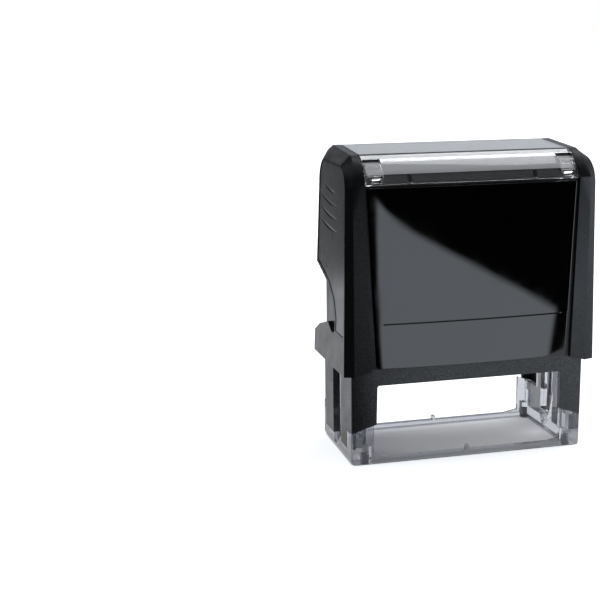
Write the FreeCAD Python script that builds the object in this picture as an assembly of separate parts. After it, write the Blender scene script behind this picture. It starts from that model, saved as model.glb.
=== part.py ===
# Self inking stamp for a 70 x 25 mm impression.
#
# Frame: +X to the right, +Y to the back, +Z up, millimetres.
# Origin: centre of the rest plane, under the middle of the clear base.
# The cap slides down over the lower frame and the die turns over on the way.
import FreeCAD
import Part

import os
from math import atan2, cos, pi, sin, sqrt, tan

from FreeCAD import Vector

# ---- driving dimensions -------------------------------------------------
DIE_WIDTH = 70.0
DIE_DEPTH = 25.0
STROKE = 28.0
BASE_WIDTH = 82.0
BASE_DEPTH = 36.0
CAP_WIDTH = 88.0
CAP_TOP = 103.8
CAP_BOTTOM = 31.0
FACE_TO_AXLE = 8.5              # printing face to axle centre

HALF_BASE = BASE_WIDTH / 2
HALF_BASE_DEPTH = BASE_DEPTH / 2
HALF_CAP = CAP_WIDTH / 2
AXLE_REST = FACE_TO_AXLE + STROKE
SIDES = (("left", -1), ("right", 1))
ENDS = (("front", -1), ("back", 1))

# ---- clear base ---------------------------------------------------------
RAIL_HEIGHT = 1.7
RAIL_INNER_Y = 15.6
RAIL_INNER_X = 35.9
BASE_CORNER_RADIUS = 0.8
BASE_HEEL_RADIUS = 1.2          # lower edge of the ends
CORNER_WALL_Y = 16.6            # inner face of the thin walls at the corners
TRACK_WALL_INNER = 36.2         # inner face of the end wall with the cam track
TRACK_WALL_OUTER = 38.4
TRACK_WALL_TOP = 42.8
TRACK_WALL_BACK = 6.3           # back edge of the tall part of that wall
TRACK_SILL_BACK = 14.6          # back edge of its low part
TRACK_SILL_TOP = 7.0
NOTCH_FRONT_Z = 6.4             # pointed lower end of the slot, in the end skin
NOTCH_BACK_Z = 4.8
NOTCH_TIP = (2.3, 0.8)
LEG_INNER_X = 32.4
BACK_LEG_INNER_X = 35.0
LEG_BOTTOM_OUTER = 11.0         # leg ends slant up from the corner inwards
LEG_BOTTOM_INNER = 14.0
BACK_LEG_RISE = 1.6             # the back legs end this much higher
FOOT_X = 36.2
FOOT_Y = 15.9
FOOT_RADIUS = 1.5
FOOT_HEIGHT = 3.6
BOSS_RADIUS = 2.4
BOSS_HEIGHT = 6.0

# ---- lower frame --------------------------------------------------------
FRAME_DEPTH_LOW = 38.0
FRAME_DEPTH_HIGH = 35.2
FRAME_STEP = 34.0               # below this height the frame is deeper
FRAME_TOP = 60.0
FRAME_WALL_X = 38.6             # inner face of the end walls
FRAME_INNER_Y = 15.9
WINDOW_TOP = 27.1               # lower edge of the cross bars
SLOT_HALF = 5.0                 # end slot that guides the bow
FRAME_BACK_CORNER = 16.5
FRAME_END_BACK = 13.3           # back edge of the upper end walls, before the cut corner
TONGUE_BOTTOM = 4.4
TONGUE_FRONT = 12.4             # front and back edges of the tongues
TONGUE_BACK = 15.0
TONGUE_STEP_Z = 10.5
HEEL_EDGE = 16.2
DECK_BOTTOM = 54.0
DECK_TOP = 56.0
BAY_HALF = 37.4                 # slot for the ink cartridge
BAY_BOTTOM = 44.9
BAY_TOP = 53.8

# ---- die ----------------------------------------------------------------
AXLE_RADIUS = 2.5
AXLE_CLEARANCE = 0.05
CAM_THROW = 5.2                 # cam pin to axle
CAM_PIN_RADIUS = 1.1
CAM_CLEARANCE = 0.2
CAM_DEPTH = 1.3
DIE_RUBBER = 1.6
DIE_FOAM = 1.5
RELIEF = 0.7                    # printing face above the floor of the rubber
HOLDER_PLATE = 2.4
CHEEK_INNER = 34.4
CHEEK_OUTER = 35.9

# ---- ink cartridge ------------------------------------------------------
INK_GAP = 0.75                  # die corner clears the felt as it turns
TRAY_BOTTOM = 45.2              # the tray slides out over the upturned die
TRAY_TOP = 53.4
TRAY_HALF_X = 37.0
TRAY_FRONT = -15.6
TRAY_BACK = 17.5
PAD_HALF_X = 35.6
PAD_HALF_Y = 13.2
TRAY_ROOF = 1.5
GRIP_BACK = 22.3

# ---- springs ------------------------------------------------------------
SPRING_X = 30.0
SPRING_RADIUS = 3.4
SPRING_WIRE = 0.45
SPRING_TURNS = 7
WIRE_SIDES = 5
COIL_STEPS = 8                  # straight lengths in each turn
POST_RADIUS = 2.3
POST_HEIGHT = 7.0

# ---- cap ----------------------------------------------------------------
# side profile (Y, Z): the roof rises towards the back
CAP_LOW = 20.6
CAP_HIGH = 19.6
SHOULDER_Z = 93.0
FRONT_SHOULDER = ((-CAP_HIGH, SHOULDER_Z), (-15.9, 98.8), (-11.0, 102.0))
BACK_SHOULDER = ((CAP_HIGH, SHOULDER_Z), (16.2, 99.4), (9.6, CAP_TOP))
BAND_X = 39.2                   # where the end bands start to slope away
CORNER_X = 40.8                 # front corner of the end bands
END_LEAN = 0.9                  # degrees that the ends lean inwards
CAP_INNER_X = 42.0
BULGE_LOW = 22.9                # front face in the middle, at the bottom
BULGE_HIGH = 20.0               # and under the window
CAVITY_LOW = 19.2
CAVITY_HIGH = 17.9
CAVITY_STEP = 62.5
CAVITY_SHOULDER = 88.6
CAVITY_TOP = 99.4
CAVITY_TOP_HALF = 8.2
CORNER_GAP = 0.5                # frame's cut corner to the cavity, along X
BACK_BAY_HALF = 37.7
BACK_BAY_TOP = 82.5
BACK_SKIRT = 63.2               # lower edge of the back corners
WINDOW_HALF = 36.6
WINDOW_THICK = 1.3
CARD_THICK = 0.4
CARD_EDGE = 95.7
BED_INSET = 1.9
BED_RIB_X = 21.5

# ---- bow ----------------------------------------------------------------
BOW_INNER = 41.1
BOW_OUTER = 41.9
BOW_HALF = 6.0
BOW_BRIDGE = 96.6
BOW_TOP = 99.2
BOW_FOOT = 31.8
BOW_BOSS_RADIUS = 4.6
BOW_BOSS_INNER = 38.8

# ---- front and end panels -----------------------------------------------
PANEL_THICK = 1.0
PANEL_TOP = 92.0
PANEL_BOTTOM = 33.0
PANEL_HALF_TOP = 36.0
PANEL_HALF_BOTTOM = 31.5
PANEL_STEP_Z = 48.3
PANEL_STEP = 0.35
RECESS_HALF_TOP = 37.0
RECESS_HALF_BOTTOM = 34.7
GRIP_PANEL_SINK = 0.15          # grip panel below the end face
GRIP_PANEL_THICK = 0.6
SCOOP_COUNT = 4
SCOOP_LOW = (-9.0, 77.1)        # front end of the lowest finger scoop
SCOOP_PITCH = 4.2
SCOOP_LENGTH = 20.6
SCOOP_RISE = 2.1
SCOOP_DROP = 1.5                # its lower edge bows down by this
SCOOP_DEPTH = 0.42


# ---- geometry helpers ---------------------------------------------------
def box(x0, x1, y0, y1, z0, z1):
    """Box between two corners."""
    return Part.makeBox(x1 - x0, y1 - y0, z1 - z0, Vector(x0, y0, z0))


def rod(radius, x0, x1, y, z):
    """Cylinder along X."""
    return Part.makeCylinder(radius, x1 - x0, Vector(x0, y, z), Vector(1, 0, 0))


def post(radius, x, y, z0, z1):
    """Cylinder along Z."""
    return Part.makeCylinder(radius, z1 - z0, Vector(x, y, z0))


def rounded_wire(corners, place):
    """Closed wire through corners (u, v, radius), rounded by tangent arcs."""
    stations = []
    for index, (u, v, radius) in enumerate(corners):
        corner = Vector(u, v, 0)
        before = Vector(*corners[index - 1][:2], 0) - corner
        after = Vector(*corners[(index + 1) % len(corners)][:2], 0) - corner
        if radius == 0:
            stations.append((corner, None, corner))
            continue
        before.normalize()
        after.normalize()
        half = before.getAngle(after) / 2
        bisector = (before + after).normalize()
        middle = corner + bisector * (radius / sin(half) - radius)
        reach = radius / tan(half)
        stations.append((corner + before * reach, middle, corner + after * reach))
    edges = []
    for index, (start, middle, end) in enumerate(stations):
        if middle is not None:
            arc = Part.Arc(place(start.x, start.y), place(middle.x, middle.y), place(end.x, end.y))
            edges.append(arc.toShape())
        following = stations[(index + 1) % len(stations)][0]
        if (following - end).Length > 1e-6:
            edges.append(Part.makeLine(place(end.x, end.y), place(following.x, following.y)))
    return Part.Wire(edges)


def prism_x(corners, x0, x1):
    """Outline of (y, z, radius) corners, extruded along X."""
    wire = rounded_wire(corners, lambda y, z: Vector(x0, y, z))
    return Part.Face(wire).extrude(Vector(x1 - x0, 0, 0))


def prism_y(corners, y0, y1):
    """Outline of (x, z, radius) corners, extruded along Y."""
    wire = rounded_wire(corners, lambda x, z: Vector(x, y0, z))
    return Part.Face(wire).extrude(Vector(0, y1 - y0, 0))


def prism_z(corners, z0, z1):
    """Outline of (x, y, radius) corners, extruded along Z."""
    wire = rounded_wire(corners, lambda x, y: Vector(x, y, z0))
    return Part.Face(wire).extrude(Vector(0, 0, z1 - z0))


def plan_block(half_x, half_y, radius, z0, z1):
    """Upright block with a rounded rectangular plan, centred on the origin."""
    corners = [
        (-half_x, -half_y, radius),
        (half_x, -half_y, radius),
        (half_x, half_y, radius),
        (-half_x, half_y, radius),
    ]
    return prism_z(corners, z0, z1)


def mirror_x(shape):
    """Copy mirrored to the other end of the stamp."""
    return shape.mirror(Vector(0, 0, 0), Vector(1, 0, 0))


def mirror_y(shape):
    """Copy mirrored from front to back."""
    return shape.mirror(Vector(0, 0, 0), Vector(0, 1, 0))


def on_side(shape, side):
    """Shape made for the right end, moved to the asked end."""
    return shape if side > 0 else mirror_x(shape)


def both_ends(shape):
    """Shape made for the right end, together with its mirror image."""
    return [shape, mirror_x(shape)]


def four_corners(shape):
    """Shape made for the back right corner, at all four corners."""
    pair = both_ends(shape)
    return pair + [mirror_y(piece) for piece in pair]


def join(first, others):
    """One solid made of touching shapes."""
    return first.fuse(others).removeSplitter()


# ---- cap surfaces -------------------------------------------------------
def lean(shape):
    """Copy of a shape at the right end, leaning inwards with the end face."""
    copy = shape.copy()
    copy.rotate(Vector(HALF_CAP, 0, CAP_BOTTOM), Vector(0, 1, 0), -END_LEAN)
    return copy


def arc_circle(points):
    """Centre and radius of the circle through three (y, z) points."""
    (y1, z1), (y2, z2), (y3, z3) = points
    a = y2 - y1
    b = z2 - z1
    c = y3 - y1
    d = z3 - z1
    e = (a * (y1 + y2) + b * (z1 + z2)) / 2
    f = (c * (y1 + y3) + d * (z1 + z3)) / 2
    det = a * d - b * c
    centre_y = (d * e - b * f) / det
    centre_z = (a * f - c * e) / det
    return centre_y, centre_z, sqrt((y1 - centre_y) ** 2 + (z1 - centre_z) ** 2)


def shoulder_points(shoulder, inset):
    """Lower edge, middle and top edge of a shoulder arc, inset along its radius."""
    centre_y, centre_z, radius = arc_circle(shoulder)
    scale = (radius - inset) / radius
    return [(centre_y + (y - centre_y) * scale, centre_z + (z - centre_z) * scale) for y, z in shoulder]


def profile_wire(x, front, back):
    """Closed side profile at x from the half outlines of the front and the back.

    Each half is: lower end, upper end of the straight face, shoulder middle, top edge.
    """
    ahead = [Vector(x, y, z) for y, z in front]
    behind = [Vector(x, y, z) for y, z in back]
    return Part.Wire([
        Part.makeLine(ahead[0], ahead[1]),
        Part.Arc(ahead[1], ahead[2], ahead[3]).toShape(),
        Part.makeLine(ahead[3], behind[3]),
        Part.Arc(behind[3], behind[2], behind[1]).toShape(),
        Part.makeLine(behind[1], behind[0]),
        Part.makeLine(behind[0], ahead[0]),
    ])


def bulge(inset):
    """Front and back crowned faces, as a solid through the cap, inset by a distance."""
    wires = []
    for z, middle, corner in (
        (CAP_BOTTOM - 1, BULGE_LOW, CAP_LOW),
        (SHOULDER_Z, BULGE_HIGH, CAP_HIGH),
    ):
        left_front = Vector(-CORNER_X, -corner + inset, z)
        right_front = Vector(CORNER_X, -corner + inset, z)
        right_back = Vector(CORNER_X, corner - inset, z)
        left_back = Vector(-CORNER_X, corner - inset, z)
        wires.append(Part.Wire([
            Part.Arc(left_front, Vector(0, -middle + inset, z), right_front).toShape(),
            Part.makeLine(right_front, right_back),
            Part.Arc(right_back, Vector(0, middle - inset, z), left_back).toShape(),
            Part.makeLine(left_back, left_front),
        ]))
    return Part.makeLoft(wires, True, True)


def cap_outer():
    """Outside of the cap with its sloping end bands, before any recess."""
    front = [(-CAP_LOW, CAP_BOTTOM)] + shoulder_points(FRONT_SHOULDER, 0)
    back = [(CAP_LOW, CAP_BOTTOM)] + shoulder_points(BACK_SHOULDER, 0)
    corner_front = [front[0], front[1], (-15.9, 97.9), (-11.6, 100.6)]
    corner_back = [back[0], back[1], (15.9, 98.6), (9.9, 102.4)]
    end_front = [(-19.5, CAP_BOTTOM), (-18.5, 91.0), (-16.6, 96.2), (-12.4, 99.0)]
    end_back = [(19.4, CAP_BOTTOM), (13.9, 91.0), (12.2, 96.8), (7.4, 100.0)]
    start = profile_wire(BAND_X, front, back)
    middle = profile_wire(CORNER_X, corner_front, corner_back)
    end = lean(profile_wire(HALF_CAP, end_front, end_back))
    core = Part.Face(profile_wire(-BAND_X, front, back)).extrude(Vector(2 * BAND_X, 0, 0))
    band = Part.makeLoft([start, middle, end], True, True)
    return join(core, [bulge(0)] + both_ends(band))


def over_top(outer, inner, half_x):
    """Strip that follows both shoulders and the roof, between two insets."""
    def at(point):
        return Vector(-half_x, point[0], point[1])

    def arc(points):
        return Part.Arc(at(points[0]), at(points[1]), at(points[2])).toShape()

    front_out = shoulder_points(FRONT_SHOULDER, outer)
    front_in = shoulder_points(FRONT_SHOULDER, inner)
    back_out = shoulder_points(BACK_SHOULDER, outer)
    back_in = shoulder_points(BACK_SHOULDER, inner)
    wire = Part.Wire([
        arc(front_out),
        Part.makeLine(at(front_out[2]), at(back_out[2])),
        arc(back_out[::-1]),
        Part.makeLine(at(back_out[0]), at(back_in[0])),
        arc(back_in),
        Part.makeLine(at(back_in[2]), at(front_in[2])),
        arc(front_in[::-1]),
        Part.makeLine(at(front_in[0]), at(front_out[0])),
    ])
    return Part.Face(wire).extrude(Vector(2 * half_x, 0, 0))


def end_cut():
    """Opening in each end of the cap, above its lower block and towards the back."""
    corners = [
        (30.0, 63.5, 0),
        (15.5, 63.2, 0),
        (1.2, 58.2, 6),
        (-5.2, 53.8, 3),
        (-8.0, 47.7, 2),
        (-7.2, 43.2, 1),
        (-3.8, 42.6, 1),
        (1.3, 45.2, 2),
        (12.3, 42.0, 2),
        (18.6, 38.7, 0),
        (30.0, 38.7, 0),
    ]
    return prism_x(corners, CAP_INNER_X - 0.5, HALF_CAP + 1)


def end_panel_outline(inset, z_low):
    """Outline of the grip panel on the end face, shrunk by an inset."""
    return [
        (-18.2 + inset, z_low + inset, 1.0),
        (-17.4 + inset, 98.2 - inset, 6.0),
        (12.6 - inset, 98.7 - inset, 5.0),
        (15.2 - inset, 64.6 + inset, 0.8),
        (0.4 - inset, 59.6 + inset, 5.0),
        (-6.3 - inset, 54.6 + inset, 4.0),
        (-9.0 - inset, 48.3, 2.5),
        (-8.6 - inset, z_low + inset, 0.8),
    ]


def cavity_corner():
    """Solid back corner of the cavity, along the cut corner of the lower frame."""
    slope = (FRAME_DEPTH_HIGH / 2 - FRAME_END_BACK) / (HALF_BASE - FRAME_WALL_X)
    outer_x = HALF_CAP
    inner_x = FRAME_WALL_X - 1.0
    line_x = HALF_BASE + CORNER_GAP
    return prism_z([
        (outer_x, FRAME_END_BACK - slope * (outer_x - line_x), 0),
        (outer_x, FRAME_END_BACK - slope * (inner_x - line_x), 0),
        (inner_x, FRAME_END_BACK - slope * (inner_x - line_x), 0),
    ], CAVITY_STEP, CAVITY_TOP + 1)


def cap_shell():
    """Casing: crowned shell, end bands, card bed on top, bay at the back."""
    shell = cap_outer()
    cavity = prism_x([
        (-CAVITY_LOW, CAP_BOTTOM - 5, 0),
        (-CAVITY_LOW, CAVITY_STEP, 0),
        (-CAVITY_HIGH, CAVITY_STEP + 2, 0),
        (-CAVITY_HIGH, CAVITY_SHOULDER, 0),
        (-CAVITY_TOP_HALF, CAVITY_TOP, 0),
        (CAVITY_TOP_HALF, CAVITY_TOP, 0),
        (CAVITY_HIGH, CAVITY_SHOULDER, 0),
        (CAVITY_HIGH, CAVITY_STEP + 2, 0),
        (CAVITY_LOW, CAVITY_STEP, 0),
        (CAVITY_LOW, CAP_BOTTOM - 5, 0),
    ], -CAP_INNER_X, CAP_INNER_X).cut(both_ends(cavity_corner()))
    recess = prism_y([
        (-RECESS_HALF_BOTTOM, CAP_BOTTOM - 5, 0),
        (RECESS_HALF_BOTTOM, CAP_BOTTOM - 5, 0),
        (RECESS_HALF_TOP, SHOULDER_Z + 0.3, 0),
        (-RECESS_HALF_TOP, SHOULDER_Z + 0.3, 0),
    ], -30, -10).cut(bulge(PANEL_THICK))
    lower_edge = prism_y([
        (-HALF_CAP - 1, CAP_BOTTOM - 5, 0),
        (HALF_CAP + 1, CAP_BOTTOM - 5, 0),
        (CORNER_X, CAP_BOTTOM - 0.1, 0),
        (RECESS_HALF_BOTTOM, CAP_BOTTOM + 1.7, 0),
        (RECESS_HALF_BOTTOM - 0.1, PANEL_BOTTOM, 0),
        (-RECESS_HALF_BOTTOM + 0.1, PANEL_BOTTOM, 0),
        (-RECESS_HALF_BOTTOM, CAP_BOTTOM + 1.7, 0),
        (-CORNER_X, CAP_BOTTOM - 0.1, 0),
    ], -30, 30)
    back_bay = box(-BACK_BAY_HALF, BACK_BAY_HALF, 10, 30, CAP_BOTTOM - 5, BACK_BAY_TOP)
    back_open = box(-CAP_INNER_X, CAP_INNER_X, 10, 30, CAP_BOTTOM - 5, BACK_SKIRT)
    bed = over_top(-1.5, BED_INSET, WINDOW_HALF + 0.1)
    seat_floor = HALF_CAP - GRIP_PANEL_SINK - GRIP_PANEL_THICK
    grip_seat = lean(prism_x(end_panel_outline(-0.15, 44.0), seat_floor, HALF_CAP + 2))
    cuts = [cavity, recess, lower_edge, back_bay, back_open, bed]
    cuts += both_ends(end_cut()) + both_ends(grip_seat)
    shell = shell.cut(cuts)
    under_window = over_top(WINDOW_THICK + 0.05, BED_INSET + 0.2, WINDOW_HALF)
    ribs = []
    for x in (-BED_RIB_X, BED_RIB_X):
        ribs.append(under_window.common(box(x - 0.4, x + 0.4, -25, 0, 93.4, CARD_EDGE - 0.3)))
    return join(shell, ribs)


def front_panel():
    """Gloss panel that follows the crowned front, its upper field a step prouder."""
    outline = [
        (-PANEL_HALF_BOTTOM, PANEL_BOTTOM, 2.0),
        (PANEL_HALF_BOTTOM, PANEL_BOTTOM, 2.0),
        (PANEL_HALF_TOP, PANEL_TOP, 1.0),
        (-PANEL_HALF_TOP, PANEL_TOP, 1.0),
    ]
    panel = prism_y(outline, -30, -10).common(bulge(0)).cut(bulge(PANEL_THICK))
    lower_field = box(-HALF_CAP, HALF_CAP, -30, -10, 0, PANEL_STEP_Z).cut(bulge(PANEL_STEP))
    groove = box(-31.0, 31.0, -30, -10, PANEL_STEP_Z - 0.7, PANEL_STEP_Z).cut(bulge(0.7))
    return panel.cut([lower_field, groove])


def grip_panel():
    """End grip with four finger scoops (right end).

    Each scoop sinks from its straight upper edge to its bowed lower edge.
    """
    face = HALF_CAP - GRIP_PANEL_SINK
    plate = prism_x(end_panel_outline(0, 44.0), face - GRIP_PANEL_THICK, face)
    scoops = []
    for index in range(SCOOP_COUNT):
        shorter = 3.0 if index == SCOOP_COUNT - 1 else 0.0
        y = SCOOP_LOW[0] + shorter * 0.8
        z = SCOOP_LOW[1] + index * SCOOP_PITCH
        front = Vector(face, y, z)
        back = Vector(face, y + SCOOP_LENGTH - 2 * shorter, z + SCOOP_RISE)
        middle = (front + back) / 2 - Vector(0, 0, SCOOP_DROP)
        outline = Part.Wire([Part.Arc(front, middle, back).toShape(), Part.makeLine(back, front)])
        scoop = Part.Face(outline).extrude(Vector(1, 0, 0))
        scoop.rotate(front, back - front, atan2(SCOOP_DEPTH, SCOOP_DROP) * 180 / pi)
        scoops.append(scoop)
    return lean(plate.cut(scoops))


def actuator_bow():
    """U-shaped bow: a bridge under the cap's top and two arms with axle feet."""
    bridge = box(-BOW_OUTER, BOW_OUTER, -BOW_HALF, BOW_HALF, BOW_BRIDGE, BOW_TOP)
    arm = prism_x([
        (-BOW_HALF, BOW_FOOT, 2.0),
        (BOW_HALF, BOW_FOOT, 2.0),
        (BOW_HALF, BOW_TOP, 0),
        (-BOW_HALF, BOW_TOP, 0),
    ], BOW_INNER, BOW_OUTER)
    boss = rod(BOW_BOSS_RADIUS, BOW_BOSS_INNER, BOW_INNER, 0, AXLE_REST)
    cup = post(POST_RADIUS, SPRING_X, 0, BOW_BRIDGE - 3.0, BOW_BRIDGE)
    bow = join(bridge, both_ends(arm) + both_ends(boss) + both_ends(cup))
    bore = rod(AXLE_RADIUS + AXLE_CLEARANCE, BOW_BOSS_INNER - 1, BOW_OUTER + 1, 0, AXLE_REST)
    lightening = box(-24.0, 24.0, -3.5, 3.5, BOW_BRIDGE - 1, BOW_TOP - 1.2)
    return bow.cut(both_ends(bore) + [lightening])


def index_window():
    """Clear window over the top and both shoulders, with a latch at each end."""
    window = over_top(0, WINDOW_THICK, WINDOW_HALF)
    slot = box(30.6, 36.0, -25, -8, 99.6, 100.6)
    ring = box(31.6, 34.4, -25, -8, 93.9, 94.9)
    cuts = []
    for cut in (slot, ring):
        cuts += four_corners(mirror_y(cut))
    return window.cut(cuts)


def index_card():
    """Card strip that shows the imprint, held under the window."""
    inset = WINDOW_THICK + 0.05
    card = over_top(inset, inset + CARD_THICK, WINDOW_HALF - 0.8)
    below = box(-HALF_CAP, HALF_CAP, -30, 30, 80, CARD_EDGE)
    return card.cut(below)


# ---- lower frame --------------------------------------------------------
def leg_plan(half_depth):
    """Plan corners of the frame's outside; the fronts of the legs turn slightly outwards."""
    corner_front = HALF_BASE_DEPTH
    corner_back = FRAME_BACK_CORNER
    return [
        (-LEG_INNER_X - 1.1, -half_depth, 0),
        (LEG_INNER_X + 1.1, -half_depth, 0),
        (HALF_BASE, -corner_front, 0.8),
        (HALF_BASE, corner_back, 0.8),
        (LEG_INNER_X + 1.1, half_depth, 0),
        (-LEG_INNER_X - 1.1, half_depth, 0),
        (-HALF_BASE, corner_back, 0.8),
        (-HALF_BASE, -corner_front, 0.8),
    ]


def leg_space(gap, side):
    """Space below the slanted leg ends on the right, at the front (-1) or the back (1).

    The clear base fills this space up to a gap below the legs.
    """
    slope = (LEG_BOTTOM_INNER - LEG_BOTTOM_OUTER) / (HALF_BASE - LEG_INNER_X)
    rise = BACK_LEG_RISE if side > 0 else 0.0
    inner_z = LEG_BOTTOM_INNER + rise - gap
    return prism_y([
        (0, -1, 0),
        (HALF_BASE + 1, -1, 0),
        (HALF_BASE + 1, LEG_BOTTOM_OUTER + rise - slope - gap, 0),
        (LEG_INNER_X, inner_z, 0),
        (0, inner_z, 0),
    ], min(0, side * 30), max(0, side * 30))


def tongue_space(gap):
    """Space that the two tongues and heels of the right end fill, with a gap around them."""
    pieces = []
    for side, edge in ((-1, TONGUE_FRONT), (1, TONGUE_BACK)):
        for start, end, low in ((SLOT_HALF, edge, TONGUE_BOTTOM), (edge, HEEL_EDGE, TONGUE_STEP_Z)):
            near = side * start
            far = side * (end + gap)
            pieces.append(box(
                FRAME_WALL_X - 4 * gap, HALF_BASE + 1,
                min(near, far), max(near, far), low - gap, 20))
    return pieces


def under_legs():
    """Space below the black legs: slanted fronts and stepped tongues at the ends."""
    tongues = tongue_space(0)
    right = leg_space(0, -1).fuse(leg_space(0, 1)).cut(tongues)
    return right.fuse(mirror_x(right))


def lower_frame():
    """Black frame: four legs, cross bars, guide slots, cartridge bay and spring deck."""
    low = prism_z(leg_plan(FRAME_DEPTH_LOW / 2), TONGUE_BOTTOM, FRAME_STEP)
    high_half = FRAME_DEPTH_HIGH / 2
    high = prism_z([
        (-HALF_BASE, -high_half, 0.8),
        (HALF_BASE, -high_half, 0.8),
        (HALF_BASE, FRAME_END_BACK, 0),
        (FRAME_WALL_X, high_half, 0),
        (-FRAME_WALL_X, high_half, 0),
        (-HALF_BASE, FRAME_END_BACK, 0),
    ], FRAME_STEP, FRAME_TOP)
    frame = join(low, [high])
    inside_low = box(-FRAME_WALL_X, FRAME_WALL_X, -FRAME_INNER_Y, FRAME_INNER_Y, 0, DECK_BOTTOM)
    inside_high = box(-FRAME_WALL_X, FRAME_WALL_X, -FRAME_INNER_Y, FRAME_INNER_Y, DECK_TOP, 70)
    legs_inside = box(-FRAME_WALL_X, FRAME_WALL_X, -17.2, 17.2, 0, WINDOW_TOP)
    views = []
    for inner_x, y0, y1 in ((LEG_INNER_X, -25, 0), (BACK_LEG_INNER_X, 0, 25)):
        views.append(prism_y([
            (-inner_x - 0.6, 0, 0),
            (inner_x + 0.6, 0, 0),
            (inner_x, WINDOW_TOP, 0.8),
            (-inner_x, WINDOW_TOP, 0.8),
        ], y0, y1))
    slot = prism_x([
        (-SLOT_HALF, 0, 0),
        (SLOT_HALF, 0, 0),
        (SLOT_HALF, AXLE_REST + 6.0, 2.5),
        (-SLOT_HALF, AXLE_REST + 6.0, 2.5),
    ], FRAME_WALL_X - 1, HALF_BASE + 1)
    bay = box(-BAY_HALF, BAY_HALF, 10, 30, BAY_BOTTOM, BAY_TOP)
    frame = frame.cut([inside_low, inside_high, legs_inside, under_legs(), bay] + views + both_ends(slot))
    ledge = box(TRACK_WALL_INNER, FRAME_WALL_X, -FRAME_INNER_Y, FRAME_INNER_Y, 43.0, BAY_BOTTOM)
    spring_post = post(POST_RADIUS, SPRING_X, 0, DECK_TOP, DECK_TOP + POST_HEIGHT)
    web = box(-0.8, 0.8, -FRAME_INNER_Y, FRAME_INNER_Y, DECK_TOP, FRAME_TOP - 1)
    webs = []
    for x in (-20, -10, 0, 10, 20):
        webs.append(web.translated(Vector(x, 0, 0)))
    return join(frame, both_ends(ledge) + both_ends(spring_post) + webs)


# ---- clear base ---------------------------------------------------------
def cam_path(radius, depth_from, depth_to):
    """Track swept by the cam pin as the axle sinks and turns by half a turn.

    The pin stands CAM_THROW from the axle. While the axle drops by STROKE the
    pin turns from straight above it, over the front, to straight below it.
    """
    steps = 10
    centres = []
    for index in range(steps + 1):
        turn = pi * index / steps
        height = AXLE_REST - STROKE * index / steps
        centres.append((-CAM_THROW * sin(turn), height + CAM_THROW * cos(turn)))
    left = []
    right = []
    for index, (y, z) in enumerate(centres):
        y0, z0 = centres[max(index - 1, 0)]
        y1, z1 = centres[min(index + 1, steps)]
        angle = atan2(z1 - z0, y1 - y0)
        left.append(Vector(depth_from, y - radius * sin(angle), z + radius * cos(angle)))
        right.append(Vector(depth_from, y + radius * sin(angle), z - radius * cos(angle)))
    one = Part.BSplineCurve()
    one.interpolate(left)
    other = Part.BSplineCurve()
    other.interpolate(right)
    wire = Part.Wire([
        one.toShape(),
        Part.makeLine(left[-1], right[-1]),
        other.toShape(),
        Part.makeLine(right[0], left[0]),
    ])
    track = Part.Face(wire).extrude(Vector(depth_to - depth_from, 0, 0))
    tips = []
    for y, z in (centres[0], centres[-1]):
        tips.append(rod(radius, depth_from, depth_to, y, z))
    return track.fuse(tips)


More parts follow.
